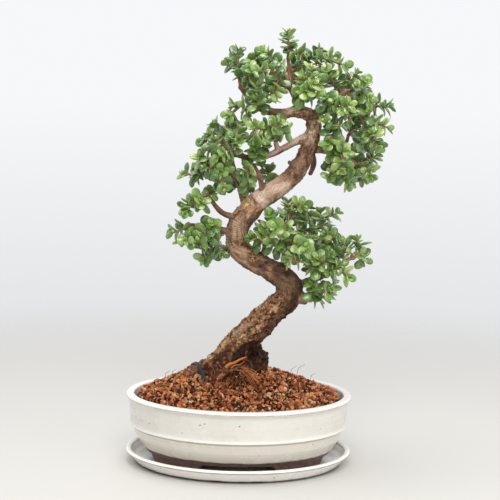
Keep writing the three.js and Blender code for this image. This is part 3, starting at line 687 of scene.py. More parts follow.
def tree_bark():
    """Bark that is dark and flaky low down, ringed and grey-brown on the bend and tan where it is smooth,
    with painted highlight on its lit side and painted shade underneath and in hollows.
    """
    shader = Shader("tree_bark", Specular_IOR_Level=0.2)
    rough, ringed = shader.value("rough"), shader.value("ringed")
    patches = shader.noise(120, detail=7, roughness=0.74, distortion=0.4, grain="grain")
    fine = shader.noise(400, detail=6, roughness=0.78, grain="grain")
    blend = shader.plus(shader.times(patches, 0.6), shader.times(fine, 0.4))
    smooth = shader.ramp(patches, [
        (0.36, 78, 58, 47),
        (0.45, 138, 110, 88),
        (0.54, 178, 146, 118),
        (0.68, 210, 182, 150),
    ])
    flaky = shader.ramp(blend, [
        (0.36, 36, 18, 15),
        (0.45, 94, 58, 45),
        (0.52, 146, 100, 77),
        (0.59, 190, 140, 106),
        (0.68, 222, 182, 142),
    ])
    rings = bark_rings(shader)
    broken = shader.fade(shader.noise(150, detail=3), 0.36, 0.56, 0.25, 1)
    ring_share = shader.times(shader.times(ringed, shader.fade(rings, 0.0, 0.45, 0.62, 0)), broken)
    flakes = shader.fade(shader.noise(230, detail=8, roughness=0.72, distortion=0.5), 0.46, 0.56)
    grit = shader.fade(shader.cells(470), 0.3, 0.5, 1, 0.45)
    # golden flakes, partly painted highlight: most on the lit side, along the ridge and on the arch's top
    flecks_and_highlight = shader.times(shader.value("gold_and_highlight"), shader.times(flakes, grit))
    spots = shader.fade(shader.noise(165, detail=7, roughness=0.72), 0.53, 0.58, 0, 0.92)
    moss = shader.fade(shader.noise(190, detail=3), 0.62, 0.74, 0, 0.3)
    colour = shader.layered(
        smooth,
        (rough, flaky),
        # pale bark, partly painted highlight: more on the lit side, along the ridge and on the tops of the
        # arch and the loop
        (shader.value("pale"), shader.spread(fine, 0.35, 0.65, (196, 160, 141), (241, 217, 200))),
        (ring_share, srgb(62, 44, 34)),
        (flecks_and_highlight, shader.spread(patches, 0.35, 0.65, (204, 156, 86), (250, 222, 154))),
        (shader.times(rough, spots), srgb(48, 27, 22)),
        (shader.times(rough, moss), srgb(112, 106, 52)),
        # orange root bark; on thin roots only their upper sides, as painted highlight
        (shader.value("root"), shader.spread(fine, 0.38, 0.62, (92, 42, 26), (232, 144, 84))),
        # dark bark, partly painted shade: under the stems, in the hollow at the foot and under thin roots
        (shader.value("pit"), shader.spread(fine, 0.42, 0.68, (12, 8, 8), (84, 44, 32))),
        (shader.value("young"), shader.spread(blend, 0.38, 0.62, (80, 50, 44), (190, 144, 124))),
    )
    normal = shader.bump(fine, 0.9, 0.8)
    normal = shader.bump(shader.times(rings, ringed), 0.35, 0.8, normal)
    normal = shader.bump(shader.cells(620), 0.4, 0.4, normal)
    return shader.finish(colour, shader.fade(fine, 0.3, 0.7, 0.6, 0.9), normal)


def jade_leaves():
    """Fleshy leaves with a waxy gloss and a pale rim, on reddish young twigs."""
    shader = Shader("jade_leaves", Specular_IOR_Level=0.6, Subsurface_Weight=0.1,
                    Subsurface_Scale=2 * MM, Coat_Weight=0.75, Coat_Roughness=0.14)
    shader.surface.inputs["Subsurface Radius"].default_value = (0.5, 1.0, 0.25)
    young, stem = shader.value("young"), shader.value("stem")
    mottle = shader.noise(260, detail=4, roughness=0.6)
    streak = shader.noise(180, detail=4, roughness=0.6)
    leaf = shader.ramp(shader.value("tone"), [
        (0.0, 44, 72, 32),
        (0.3, 82, 119, 48),
        (0.6, 129, 163, 74),
        (0.85, 168, 192, 108),
        (1.0, 188, 208, 132),
    ])
    leaf = shader.layered(
        leaf,
        (shader.fade(mottle, 0.35, 0.7, 0.3, 0), srgb(46, 78, 34)),
        (shader.fade(shader.value("along"), 0.0, 0.4, 0.3, 0), srgb(160, 188, 104)),
        (shader.times(shader.value("under"), 0.4), srgb(152, 178, 116)),
        (young, srgb(142, 176, 80)),
        (shader.fade(shader.value("rim"), 0.86, 1.0, 0, 0.35), srgb(182, 202, 130)),
    )
    woody = shader.spread(streak, 0.3, 0.7, (98, 58, 48), (178, 122, 96))
    green = shader.spread(streak, 0.4, 0.65, (130, 150, 70), (160, 96, 66))
    colour = shader.mix(stem, leaf, shader.mix(young, woody, green))
    roughness = shader.most(shader.fade(mottle, 0.3, 0.7, 0.26, 0.38), shader.times(stem, 0.62))
    return shader.finish(colour, roughness, shader.bump(shader.noise(300, detail=4), 0.5, 0.4))


def black_plastic():
    shader = Shader("black_plastic", Specular_IOR_Level=0.5)
    wear = shader.noise(240, detail=5)
    colour = shader.spread(wear, 0.4, 0.75, (12, 14, 16), (30, 35, 38))
    normal = shader.bump(shader.noise(900, detail=2), 0.1, 0.4)
    return shader.finish(colour, shader.fade(wear, 0.3, 0.7, 0.35, 0.6), normal)


def iron_beads():
    shader = Shader("iron_specks", Specular_IOR_Level=0.5)
    colour = shader.spread(shader.noise(600, detail=3), 0.35, 0.65, (78, 46, 28), (136, 92, 58))
    return shader.finish(colour, 0.4)


# Ceramics

def slot_height(across, half):
    """How high a foot's cut-away reaches at a distance from its middle."""
    bend = 0.75 * NOTCH_HEIGHT
    past = np.clip((np.abs(across) - (half - bend)) / (1.2 * bend), 0, 1)
    return NOTCH_HEIGHT * np.sqrt(1 - past**2)


def cut_away_foot(x, y, z):
    """Lifts the bottom of the foot at the four cut-aways."""
    front = np.where(np.abs(y) > 60, slot_height(x, FRONT_NOTCH_HALF), 0)
    end = np.where(np.abs(x) > 60, slot_height(y, END_NOTCH_HALF), 0)
    notch = np.maximum(front, end)
    lifted = notch + z / POT_UNDERSIDE * (POT_UNDERSIDE - notch)
    return x, y, np.where(z < POT_UNDERSIDE, lifted, z)


def wavering(x, y, z):
    """The slight unevenness of a hand-made wall."""
    angle = np.arctan2(y, x)
    swell = 1 + 0.0016 * np.sin(2 * angle + 0.6 + z * 0.03) + 0.0010 * np.sin(5 * angle - z * 0.05)
    ring = 1 + 0.0009 * np.sin(z * 1.15 + 0.4 * np.sin(angle)) * (z > POT_UNDERSIDE + 4)
    return x * swell * ring, y * swell * ring, z


def make_pot(material):
    build = Build()
    build.add(*oval_lathe(POT_PROFILE, POT_FLAT_RADIUS, POT_BASE,
                          lambda x, y, z: cut_away_foot(*wavering(x, y, z))))
    add_piece("glazed_pot", build.mesh("glazed_pot"), material, ["pot"])


def make_tray(material):
    build = Build()
    build.add(*oval_lathe(TRAY_PROFILE, TRAY_FLAT_RADIUS, 0))
    add_piece("glazed_tray", build.mesh("glazed_tray"), material, ["drip_tray"])


# Iron specks seen in the glaze, and their like behind: turn from the front in degrees, height and radius
POT_SPECKS = [
    (-19, 68, 0.9), (-16.5, 70, 0.7), (-17.5, 65.5, 0.5), (1, 69, 0.9), (3, 66.5, 0.4), (-52, 60, 0.7),
    (-48, 52, 0.45), (24, 79, 0.6), (31, 77.5, 0.5), (44, 41, 0.8), (47, 36, 0.5), (38, 44, 0.45),
    (-33, 34, 0.5), (12, 33, 0.45), (62, 58, 0.6), (-75, 66, 0.6), (110, 61, 0.8), (128, 44, 0.6),
    (150, 69, 0.7), (176, 56, 0.9), (-160, 39, 0.5), (-138, 64, 0.8), (-112, 50, 0.5), (-96, 72, 0.6),
]
TRAY_SPECKS = [
    (19.5, 8.2, 1.0), (20.6, 10.4, 0.5), (-42, 12, 0.5), (74, 9, 0.6), (-120, 11, 0.6), (160, 8, 0.5),
]
SPECK_SIDES = 10
SPECK_RINGS = ((1, -0.3), (0.85, 0.1), (0.45, 0.22))  # share of the radius and height over the glaze


def wall_place(profile, flat_radius, turn_degrees, height, base):
    """A point on the outside of an oval wall and the way outward from it."""
    heights = [p[1] for p in profile[1:]]
    radii = [p[0] for p in profile[1:]]
    top = heights.index(max(heights))
    radius = float(np.interp(height - base, heights[:top + 1], radii[:top + 1]))
    angle = math.radians(turn_degrees - 90)
    narrow = OVAL_NARROWING * min(1, radius / flat_radius)
    place = np.array([radius * math.cos(angle), (radius - narrow) * math.sin(angle), height])
    return place, unit(np.array([math.cos(angle), math.sin(angle) * radius / (radius - narrow), 0]))


def make_specks():
    """Small dark beads where iron has bled through the glaze."""
    build = Build()
    pot = [(POT_PROFILE, POT_FLAT_RADIUS, POT_BASE, speck) for speck in POT_SPECKS]
    tray = [(TRAY_PROFILE, TRAY_FLAT_RADIUS, 0, speck) for speck in TRAY_SPECKS]
    for profile, flat_radius, base, (turn, height, size) in pot + tray:
        place, outward = wall_place(profile, flat_radius, turn, height, base)
        across = unit(np.cross(UP, outward))
        rings = []
        for share, lift in SPECK_RINGS:
            for angle in circle(SPECK_SIDES):
                wobble = size * share * (1 + 0.25 * math.sin(2 * angle + turn))
                rim = math.cos(angle) * across + math.sin(angle) * UP
                rings.append(place + wobble * rim + lift * outward)
        build.add(rings, closed_faces(len(SPECK_RINGS), SPECK_SIDES)[1:])
    add_piece("iron_specks", build.mesh("iron_specks"), iron_beads(), [])


# Soil

BED_RADIUS = 121.6
BED_DROP = 2.4
BED_RINGS = 46
BED_SEGMENTS = 120
GRAIN_SEED = 7
GRAIN_WALL = 121.3  # how far out grains lie, as the oval's longer radius
GRAIN_SPACING = 4.1
LARGEST_GRAIN = 3.9
LOOSE_GRAINS = 1050  # thrown over the even layer
HOLLOW = {"x": 3, "y": -29, "half_width": 25, "half_depth": 9}  # in shade, under the roots


def soil_height(x, y):
    along = np.maximum(0, np.maximum((RIDGE["left"] - x) / RIDGE["left_fall"],
                                     (x - RIDGE["right"]) / RIDGE["right_fall"]))
    fall = np.hypot(along, (y - RIDGE["y"]) / RIDGE["side_fall"])
    return RIM_HEIGHT - SOIL_EDGE_DROP + RIDGE["height"] * np.maximum(0, 1 - fall) ** 1.1


def soil_bed(build):
    """The soil's own body, a little below the tops of the grains that lie on it."""
    angles = circle(BED_SEGMENTS)
    levels = [(106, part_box("soil")[0].z / MM), (117, POT_BASE + 30), (121.2, POT_BASE + 60)]
    rows = []
    for radius, height in levels:
        x, y = oval(radius, POT_FLAT_RADIUS, angles)
        rows.append(np.stack([x, y, np.full(BED_SEGMENTS, height)], axis=1))
    for ring in range(BED_RINGS):
        x, y = oval(BED_RADIUS * (1 - ring / BED_RINGS), POT_FLAT_RADIUS, angles)
        z = soil_height(x, y) - BED_DROP
        z += [0.9 * noise.noise(Vector((a * 0.22, b * 0.22, 3))) for a, b in zip(x, y)]
        rows.append(np.stack([x, y, z], axis=1))
    # the bed is darkened with painted shade where it shows between grains
    build.add(np.concatenate(rows), closed_faces(len(rows), BED_SEGMENTS), tone=0.12, shade=0.25)


def grain_shapes(random, count=18, corners=13):
    """Angular stones of unit size, each the hull of points on a lumpy ball."""
    shapes = []
    for _ in range(count):
        points = random.normal(size=(corners, 3))
        points /= np.linalg.norm(points, axis=1)[:, None]
        points *= random.uniform(0.78, 1.15, size=(corners, 1))
        hull = bmesh.new()
        for point in points:
            hull.verts.new(point)
        bmesh.ops.convex_hull(hull, input=hull.verts)
        loose = [v for v in hull.verts if not v.link_faces]
        bmesh.ops.delete(hull, geom=loose, context="VERTS")
        hull.verts.index_update()
        corners_kept = np.array([v.co[:] for v in hull.verts])
        shapes.append((corners_kept, [[v.index for v in face.verts] for face in hull.faces]))
        hull.free()
    return shapes


def turned(random):
    quaternion = random.normal(size=4)
    return np.array(Quaternion(unit(quaternion)).to_matrix())


def grain_spots(random):
    """Places of the grains, each with its lift over the soil and its size: a layer, then loose ones."""
    rows = np.arange(-98, 98, GRAIN_SPACING * 0.866)
    for row, y in enumerate(rows):
        for x in np.arange(-124, 124, GRAIN_SPACING) + (row % 2) * GRAIN_SPACING / 2:
            yield x, y, random.uniform(-0.8, 0.8), random.lognormal(0.8, 0.26)
    for _ in range(LOOSE_GRAINS):
        x, y = random.uniform(-120, 120), random.uniform(-95, 95)
        yield x, y, random.uniform(1.0, 2.8), random.lognormal(0.66, 0.36)


def hollow_shade(x, y):
    across = ((x - HOLLOW["x"]) / HOLLOW["half_width"]) ** 4
    return math.exp(-across - ((y - HOLLOW["y"]) / HOLLOW["half_depth"]) ** 2)


def scatter_grains(build, wood):
    random = np.random.default_rng(GRAIN_SEED)
    shapes = grain_shapes(random)
    for x, y, lift, size in list(grain_spots(random)):
        x += random.normal() * 0.7
        y += random.normal() * 0.7
        size = min(size, LARGEST_GRAIN)
        radius = math.hypot(x, y * GRAIN_WALL / (GRAIN_WALL - OVAL_NARROWING))
        if radius > GRAIN_WALL - 0.6 * size:
            continue
        centre = np.array([x, y, float(soil_height(x, y)) - 0.9 + lift])
        if wood.inside(centre, 1.5):
            continue
        vertices, faces = shapes[random.integers(len(shapes))]
        stretch = random.uniform(0.72, 1.25, size=3)
        placed = (vertices * stretch * size) @ turned(random).T + centre
        tone = min(1, max(0, random.normal(0.46, 0.29)))
        if random.uniform() < 0.07:
            tone = random.uniform(0.8, 1.0)
        # painted shade: low grains darker, raised ones brighter, darkest in the hollow under the roots
        shade = min(1.0, 0.86 + 0.16 * random.uniform() + 0.1 * lift) * (1 - 0.95 * hollow_shade(x, y))
        build.add(placed, faces, tone=tone, shade=shade)


def make_soil(material, wood):
    build = Build()
    soil_bed(build)
    scatter_grains(build, wood)
    mesh = build.mesh("soil_granules")
    add_piece("soil_granules", mesh, material, ["soil"], smooth=False)


# Wood

FIRST_NORMAL = (0.31, -0.92, 0.24)
WOOD_SIDES = {"trunk": 40, "root": 24, "branch": 14}
WOOD_STEP = 1.6
WOOD_VOXEL = 1.17
RELAX_ROUNDS = 3


def ripples(step, angle):
    return 1 + 0.05 * np.sin(3 * angle + 0.7 * step) + 0.035 * np.sin(5 * angle - 1.9 * step)


class Wood:
    """The trunk's and limbs' lines, sampled closely, with the radius and the run at each sample."""

    def __init__(self):
        limbs = [("trunk", [p[:3] for p in TRUNK_LINE], [p[3] for p in TRUNK_LINE])]
        for kind, table in (("root", ROOTS), ("branch", BRANCHES)):
            for first, last, *points in table.values():
                limbs.append((kind, points, np.linspace(first, last, len(points))))
        self.limbs = [(kind, SmoothLine(points), radii) for kind, points, radii in limbs]
        centres, sizes, runs, kinds, tips = [], [], [], [], []
        for kind, line, radii in self.limbs:
            count = max(12, int(line.length / 1.5))
            run, last = 0, line.at(0)
            for t in np.linspace(0, 1, count + 1):
                centres.append(line.at(t))
                run += np.linalg.norm(centres[-1] - last)
                last = centres[-1]
                sizes.append(np.interp(t * (len(radii) - 1), range(len(radii)), radii))
                runs.append(run)
                kinds.append(list(WOOD_SIDES).index(kind))
                tips.append(t)
        self.centres = np.array(centres)
        self.sizes = np.array(sizes)
        self.runs = np.array(runs)
        self.kinds = np.array(kinds)
        self.tips = np.array(tips)

    def nearest(self, points):
        """For each point, the sample whose surface is nearest, and how far outside it the point is."""
        found, outside = [], []
        for chunk in np.array_split(points, max(1, len(points) // 3000)):
            gaps = np.linalg.norm(chunk[:, None, :] - self.centres[None, :, :], axis=2) - self.sizes
            best = gaps.argmin(axis=1)
            found.append(best)
            outside.append(gaps[np.arange(len(chunk)), best])
        return np.concatenate(found), np.concatenate(outside)

    def inside(self, point, margin):
        return bool(self.nearest(np.array([point]))[1][0] < -margin)


def voxel_mesh(build, name, voxel_mm):
    """One skin over overlapping solids."""
    rough = bpy.data.objects.new(name + "_rough", build.mesh(name + "_rough"))
    bpy.context.scene.collection.objects.link(rough)
    remesh = rough.modifiers.new("skin", "REMESH")
    remesh.mode = "VOXEL"
    remesh.voxel_size = voxel_mm * MM
    graph = bpy.context.evaluated_depsgraph_get()
    mesh = bpy.data.meshes.new_from_object(rough.evaluated_get(graph))
    mesh.name = name
    bpy.data.objects.remove(rough)
    return mesh


def vectors_of(collection, key):
    flat = np.empty(len(collection) * 3, np.float32)
    collection.foreach_get(key, flat)
    return flat.reshape(-1, 3).astype(float)


def places_of(mesh):
    return vectors_of(mesh.vertices, "co") / MM


def move_to(mesh, places):
    mesh.vertices.foreach_set("co", (places * MM).astype(np.float32).ravel())
    mesh.update()


def relax(mesh, rounds, share=0.5):
    """Moves each vertex part of the way to the middle of its neighbours."""
    edges = np.empty(len(mesh.edges) * 2, np.int32)
    mesh.edges.foreach_get("vertices", edges)
    a, b = edges.reshape(-1, 2).T
    places = places_of(mesh)
    degree = np.bincount(a, minlength=len(places)) + np.bincount(b, minlength=len(places))
    for _ in range(rounds):
        total = np.zeros_like(places)
        for axis in range(3):
            total[:, axis] = np.bincount(a, places[b, axis], len(places))
            total[:, axis] += np.bincount(b, places[a, axis], len(places))
        places += share * (total / degree[:, None] - places)
    move_to(mesh, places)


def ease(value, low, high):
    t = np.clip((value - low) / (high - low), 0, 1)
    return t * t * (3 - 2 * t)


def hump(value, start, full, fade, end):
    return ease(value, start, full) * (1 - ease(value, fade, end))


def noise_at(points, size, seed=0.0, octaves=1):
    shift = Vector((seed * 7.3, seed * 1.7, seed * 3.1))
    total = np.zeros(len(points))
    for octave in range(octaves):
        scale = 2**octave / size
        total += [noise.noise(Vector(p) * scale + shift) / 2**octave for p in points]
    return total


NOISE_SEED = 7


def cell_walls(points, size):
    """0 on the walls between irregular cells, growing to about 1 in their middles."""
    noise.seed_set(NOISE_SEED)  # without a seed, noise_vector follows the clock
    gaps = []
    for point in points:
        place = Vector(point)
        distances = noise.voronoi((place + 1.6 * noise.noise_vector(place / 5)) / size)[0]
        gaps.append(distances[1] - distances[0])
    return np.clip(np.array(gaps) / 0.45, 0, 1)


def most_of(*shares):
    return np.maximum.reduce(shares)


class Bark:
    """What the wood's skin is like at each vertex, as shares from 0 to 1 unless said otherwise."""

    def __init__(self, mesh, wood):
        self.places = places_of(mesh)
        self.normals = vectors_of(mesh.vertex_normals, "vector")
        found, _ = wood.nearest(self.places)
        kind = wood.kinds[found]
        self.trunk, self.root, self.branch = kind == 0, kind == 1, kind == 2
        self.run, self.size, self.tip = wood.runs[found], wood.sizes[found], wood.tips[found]
        away = self.places - wood.centres[found]
        self.out = away / np.linalg.norm(away, axis=1)[:, None]
        self.lit = 0.7 * self.out[:, 2] - 0.7 * self.out[:, 0] - 0.25 * self.out[:, 1]
        self.slim = np.minimum(1, self.size / 9)
        self.large = noise_at(self.places, 22, 1)
        self.lumps = noise_at(self.places, 9, 2, 2)
        self.fine = noise_at(self.places, 3.4, 3, 2)
        self.plates = cell_walls(self.places, 4.6)
        self.find_places()
        self.find_bark()

    def find_places(self):
        """The places on the tree that look different: above all the lit ridge over its hollow foot."""
        x, y, z = self.places.T
        trunk, branch, run, out = self.trunk, self.branch, self.run, self.out
        along_ridge = 0.753 * (x + 41) + 0.657 * (z - 129)
        below_ridge = 0.657 * (x + 41) - 0.753 * (z - 129)
        front = ease(-out[:, 1], 0, 0.5) * ~branch
        self.ridge = np.exp(-((below_ridge / 4.2) ** 2)) * hump(along_ridge, -10, 4, 52, 70) * front
        self.flank = hump(below_ridge, 2, 9, 60, 70) * (1 - ease(x, -16, 0)) * front
        hollow = -np.hypot((x - 8 - 0.4 * (z - 134)) / 22, (z - 134) / 17) + 0.3 * self.large
        self.hollow = ease(hollow, -1.05, -0.7) * ease(-out[:, 1] + 0.3, 0, 0.5) * ~branch
        self.stump = self.root & (np.hypot(x - 24, y - 6) < 19)
        self.thin_root = self.root & (self.size < 5)
        inner = out[:, 0] + 0.5 * out[:, 2] - 0.35 * out[:, 1] + 0.8 * self.large
        self.inner = ease(inner, 0.1, 0.6)
        self.collar = np.where(trunk, np.exp(-(((run - 334 - 1.5 * self.lumps) / 1.3) ** 2)), 0)
        # the arch's top and front, which get painted highlight
        arch = ease(out[:, 2] - 0.4 * out[:, 1] + self.large, -0.2, 0.4)
        self.arch = trunk * ease(run, 424, 440) * arch
        on_loop = np.abs(z - 368 - 0.38 * (x - 22)) < 12
        self.loop = hump(x, 16, 24, 76, 82) * branch * on_loop * (y < 0)

    def find_bark(self):
        x, _, height = self.places.T
        trunk, branch, run = self.trunk, self.branch, self.run
        lit, large, lumps, fine = self.lit, self.large, self.lumps, self.fine
        low = np.where(trunk, 1 - ease(run + 5 * lumps, 176, 200), 1)
        level = 0.45 * hump(run, 196, 206, 238, 262)
        bend = hump(run, 232, 244, 268, 290) * self.inner
        band = 0.35 * hump(run, 300, 308, 331, 335)
        top = 0.45 * ease(run, 372, 382) + 0.3 * ease(run, 420, 470)
        rough = np.clip(low + trunk * (level + 0.85 * bend + band + top), 0, 1)
        self.rough = np.where(branch, 0.12, rough)
        smooth_stretch = trunk * hump(run + 5 * lumps, 331, 337, 362, 384)
        # pale bark on the smooth stretch, more on its lit side, with painted highlight along the ridge and
        # on the tops of the arch and the loop
        self.pale = most_of(
            smooth_stretch * ease(0.35 * lit + large, -0.35, 0.45),
            0.4 * self.ridge * ease(lumps + 0.5 * fine, -0.3, 0.4),
            0.7 * self.arch * ease(lumps, -0.4, 0.2),
            0.75 * self.loop * ease(self.out[:, 2] + 0.6 * fine, -0.7, 0.3),
        )
        # golden flakes with painted highlight: biased to the lit side, and added along the ridge and on the
        # arch's top
        low_gold_and_highlight = low * ~branch * (0.3 + 0.75 * ease(lit + 0.5 * large, -0.25, 0.7))
        gold_and_highlight = most_of(
            trunk * hump(run, 300, 306, 329, 334) * ease(lit + 0.6 * large, 0.1, 0.6),
            trunk * hump(run, 234, 242, 268, 284) * self.inner,
            low_gold_and_highlight * (1 - 0.4 * ease(height + 8 * lumps, 138, 176)),
        )
        gold_and_highlight = gold_and_highlight * ease(height, 84, 108) * (1 - 0.8 * ease(-x, 40, 54))
        self.gold_and_highlight = most_of(gold_and_highlight, self.arch, 0.9 * self.ridge) * (1 - 0.75 * self.flank)
        ringed = 0.95 * hump(run, 262, 272, 306, 316) + 0.35 * hump(run, 330, 338, 372, 384)
        ringed = np.where(trunk, ringed + 0.5 * hump(run, 374, 386, 410, 430), 0)
        self.ringed = np.where(branch, 0.5, ringed)

    def relief(self):
        """How far the skin stands out over the plain stems, in millimetres."""
        thick_bark = np.where(self.root, 1.3 + 0.8 * self.stump, 0.45 + 0.85 * self.rough)
        depth = np.where(self.branch, 0.65, thick_bark)
        relief = depth * (1.7 * self.lumps + 0.9 * self.fine)
        relief += self.rough * 0.8 * (self.plates - 0.6)
        relief += 0.3 * self.ringed * np.sin(1.8 * self.run + 5 * self.large)
        relief += 0.6 * self.collar + 0.5 * self.gold_and_highlight * np.abs(self.fine)
        return (relief - 2.4 * self.hollow) * self.slim

    def pit(self):
        """How dark the bark is: between plates, at the elbow and on the stump; painted shade under the stem,
        in hollows and under thin roots; less dark along the lit ridge as painted highlight.
        """
        trunk, run, height, out = self.trunk, self.run, self.places[:, 2], self.out
        # painted shade under the stems, on the side away from the light
        under = np.clip(0.35 - self.lit, 0, 1) * (1 - ease(height, 190, 240))
        elbow = hump(run, 150, 190, 208, 222) * trunk
        mottled = hump(run, 206, 216, 240, 252) * trunk * ease(self.lumps + 0.3 * out[:, 2], 0.05, 0.4)
        between = 0.8 * (1 - ease(self.plates, 0.04, 0.4)) * self.rough * self.slim
        pit = most_of(
            np.clip(between, 0, 1),
            np.clip(0.55 * under + 0.66 * elbow + 0.5 * mottled, 0, 0.8),
            0.92 * self.stump,
            0.6 * self.collar,
            # painted shadow in the hollow at the foot
            0.97 * self.hollow,
            0.95 * self.flank * ease(self.fine, -0.8, 0.1),
        )
        # painted shade on the undersides of thin roots; elsewhere less dark along the ridge as painted
        # highlight
        on_root = 0.9 * (1 - ease(out[:, 2] + 0.4 * self.fine, 0.2, 0.9))
        return np.where(self.thin_root, on_root, pit * (1 - 0.85 * self.ridge))

    def root_colour(self):
        """How orange the bark is: at the foot, on the scaly band over the bend and on thin roots, where it
        keeps to their upper sides as painted highlight.
        """
        low = ~self.branch * (1 - ease(self.places[:, 2], 98, 116)) * 0.6
        flank = 0.6 * self.flank * ease(self.lumps + self.fine, -0.9, 0.3)
        scaly = self.trunk * hump(self.run, 316, 323, 331, 335) * ease(self.lumps, -0.2, 0.3)
        foot = most_of(low, flank, 0.32 * scaly) * (1 - 0.8 * self.stump)
        # painted highlight: thin roots are orange on their upper sides
        on_root = 0.9 * ease(self.out[:, 2] + 0.5 * self.fine, 0.1, 0.9)
        return np.where(self.thin_root, on_root, foot)

    def columns(self):
        twig = ease(self.tip, 0.1, 0.8) * 0.85 * (1 - 0.8 * self.loop)
        grain = self.out * self.size[:, None] + 0.232 * self.run[:, None]
        return {
            "rough": self.rough,
            "pale": self.pale,
            "gold_and_highlight": self.gold_and_highlight,
            "ringed": self.ringed,
            "run": self.run,
            "pit": self.pit(),
            "young": np.where(self.branch, twig, 0),
            "root": self.root_colour(),
            "grain": grain * MM,
        }


def make_tree_wood(material, wood):
    build = Build()
    for kind, line, radii in wood.limbs:
        steps = max(8, int(line.length / WOOD_STEP))
        relief = None if kind == "branch" else ripples
        build.add(*tube(line, radii, WOOD_SIDES[kind], steps, FIRST_NORMAL, relief))
    mesh = voxel_mesh(build, "tree_wood", WOOD_VOXEL)
    relax(mesh, RELAX_ROUNDS)
    bark = Bark(mesh, wood)
    move_to(mesh, bark.places + bark.normals * bark.relief()[:, None])
    for name, column in bark.columns().items():
        store(mesh, name, column)
    add_piece("tree_wood", mesh, material, ["trunk"])


# Small roots over the front of the trunk's foot: radius, how orange, then places in the picture plane
FOOT_ROOTS = [
    (2.5, 1.0, [(-16, 119), (-12, 123), (-6, 125), (1, 129), (8, 131)]),
    (1.3, 0.9, [(-10, 118), (-5, 122), (1, 122), (6, 126)]),
    (1.3, 0.3, [(9, 139), (7, 135), (9, 130), (7, 124)]),
    (0.7, 0.5, [(-24, 122), (-20, 117), (-19, 112), (-16, 104)]),
    (0.7, 0.4, [(-33, 119), (-29, 114), (-29, 107), (-27, 99)]),
    (0.6, 0.7, [(2, 128), (8, 127), (13, 122), (15, 116)]),
]


ROOT_SEED = 31
HANGING_ROOTS = 16
FAN_ROOTS = 9
SOIL_FIBRES = 90
# Where fibres lie, near the foot and then anywhere: the middle and the spread of x, then of y
FIBRE_SPOTS = (((2, 26), (-34, 13)), ((0, 80), (-10, 50)))
FIBRE_STEP = 3.6
# Fibres that stand up from the soil: x, y and height
TUFTS = ((62, 52, 14), (70, 45, 18), (86, 30, 12), (-92, 24, 12), (-84, 34, 10), (-58, 40, 10))


def face_of_wood(wood, x, z):
    """The front of the wood at a place in the picture plane, or None where there is none."""
    ys = np.arange(-46, 30, 0.8)
    _, outside = wood.nearest(np.stack([np.full(len(ys), x), ys, np.full(len(ys), z)], axis=1))
    met = np.nonzero(outside < 0.4)[0]
    return ys[met[0]] if len(met) else None


def ground(x, y):
    return float(soil_height(x, y))


def add_fibre(build, points, first, last, colour):
    line = SmoothLine(points)
    steps = max(6, int(line.length / 2))
    vertices, faces = tube(line, np.linspace(first, last, steps + 1), 6, steps, FIRST_NORMAL)
    build.add(vertices, faces, root=1, pit=1 - colour)


def add_foot_roots(build, wood):
    for first, colour, line in FOOT_ROOTS:
        points = []
        for x, z in line:
            y = face_of_wood(wood, x, z)
            points.append((x, -31 if y is None else y - 0.4 * first, z))
        add_fibre(build, points, first, 0.4 * first, colour)


def root_over_wood(wood, random, x, z, drift):
    """Points of a root that hangs down over the front of the wood into the soil."""
    points = []
    while len(points) < 14:
        y = face_of_wood(wood, x, z)
        if y is None or z < ground(x, -24) - 3:
            break
        points.append((x, y - 0.5, z))
        x += drift + random.normal() * 1.3
        z -= random.uniform(3, 5)
    if points:
        x, y, z = points[-1]
        points += [(x + drift, y - 4, z - 3), (x + 2 * drift, y - 7, ground(x, y - 7) - 3)]
    return points


def add_hanging_roots(build, wood, random):
    for _ in range(HANGING_ROOTS):
        x, z = random.uniform(-34, 16), random.uniform(108, 122)
        points = root_over_wood(wood, random, x, z, random.uniform(-1.6, 0.8))
        if len(points) > 3:
            add_fibre(build, points, random.choice([0.3, 0.4]), 0.2, random.uniform(0.2, 0.7))


def add_fan(build, random):
    """Roots that spread from under the foot down over the soil."""
    for _ in range(FAN_ROOTS):
        x, z = random.uniform(-6, 10), random.uniform(117, 121)
        reach, sink = random.uniform(10, 26), random.uniform(8, 17)
        steps = ((0, -29, 0), (0.35, -33, 0.1), (0.7, -37, 0.45), (1, -40, 1))
        points = [(x + along * reach, y, z - down * sink) for along, y, down in steps]
        add_fibre(build, points, random.uniform(0.3, 0.55), 0.24, random.choice([0.5, 0.8, 1.0]))


def add_soil_fibres(build, random):
    """Curved fibres that lie on the grains, most of them near the foot, with both ends in the soil."""
    for _ in range(SOIL_FIBRES):
        spot = FIBRE_SPOTS[0] if random.uniform() < 0.7 else FIBRE_SPOTS[1]
        x, y = (random.normal(middle, spread) for middle, spread in spot)
        if math.hypot(x, y * 1.27) > 114:
            continue
        heading = random.uniform(0, 2 * math.pi)
        lift = random.uniform(0.5, 2.5)
        points = []
        for step in range(5):
            sunk = 1.5 if step in (0, 4) else 0
            points.append((x, y, ground(x, y) + 1.6 + lift * math.sin(step * math.pi / 4) - sunk))
            heading += random.normal() * 0.5
            x += FIBRE_STEP * math.cos(heading)
            y += FIBRE_STEP * math.sin(heading)
        add_fibre(build, points, random.uniform(0.22, 0.4), 0.18, random.uniform(0.5, 1))


def add_tufts(build):
    for x, y, reach in TUFTS:
        z = ground(x, y)
        points = [(x, y, z - 1), (x + 2, y, z + 0.4 * reach), (x + 0.2 * reach, y - 2, z + 0.7 * reach)]
        points.append((x + 0.6 * reach, y - 4, z + reach))
        add_fibre(build, points, 0.32, 0.2, 0.8)


def make_root_fibres(material, wood):
    """Thin orange-brown roots at the foot of the trunk and loose fibres on the soil."""
    random = np.random.default_rng(ROOT_SEED)
    build = Build()
    add_foot_roots(build, wood)
    add_hanging_roots(build, wood, random)
    add_fan(build, random)
    add_soil_fibres(build, random)
    add_tufts(build)
    add_piece("root_fibres", build.mesh("root_fibres"), material, [])


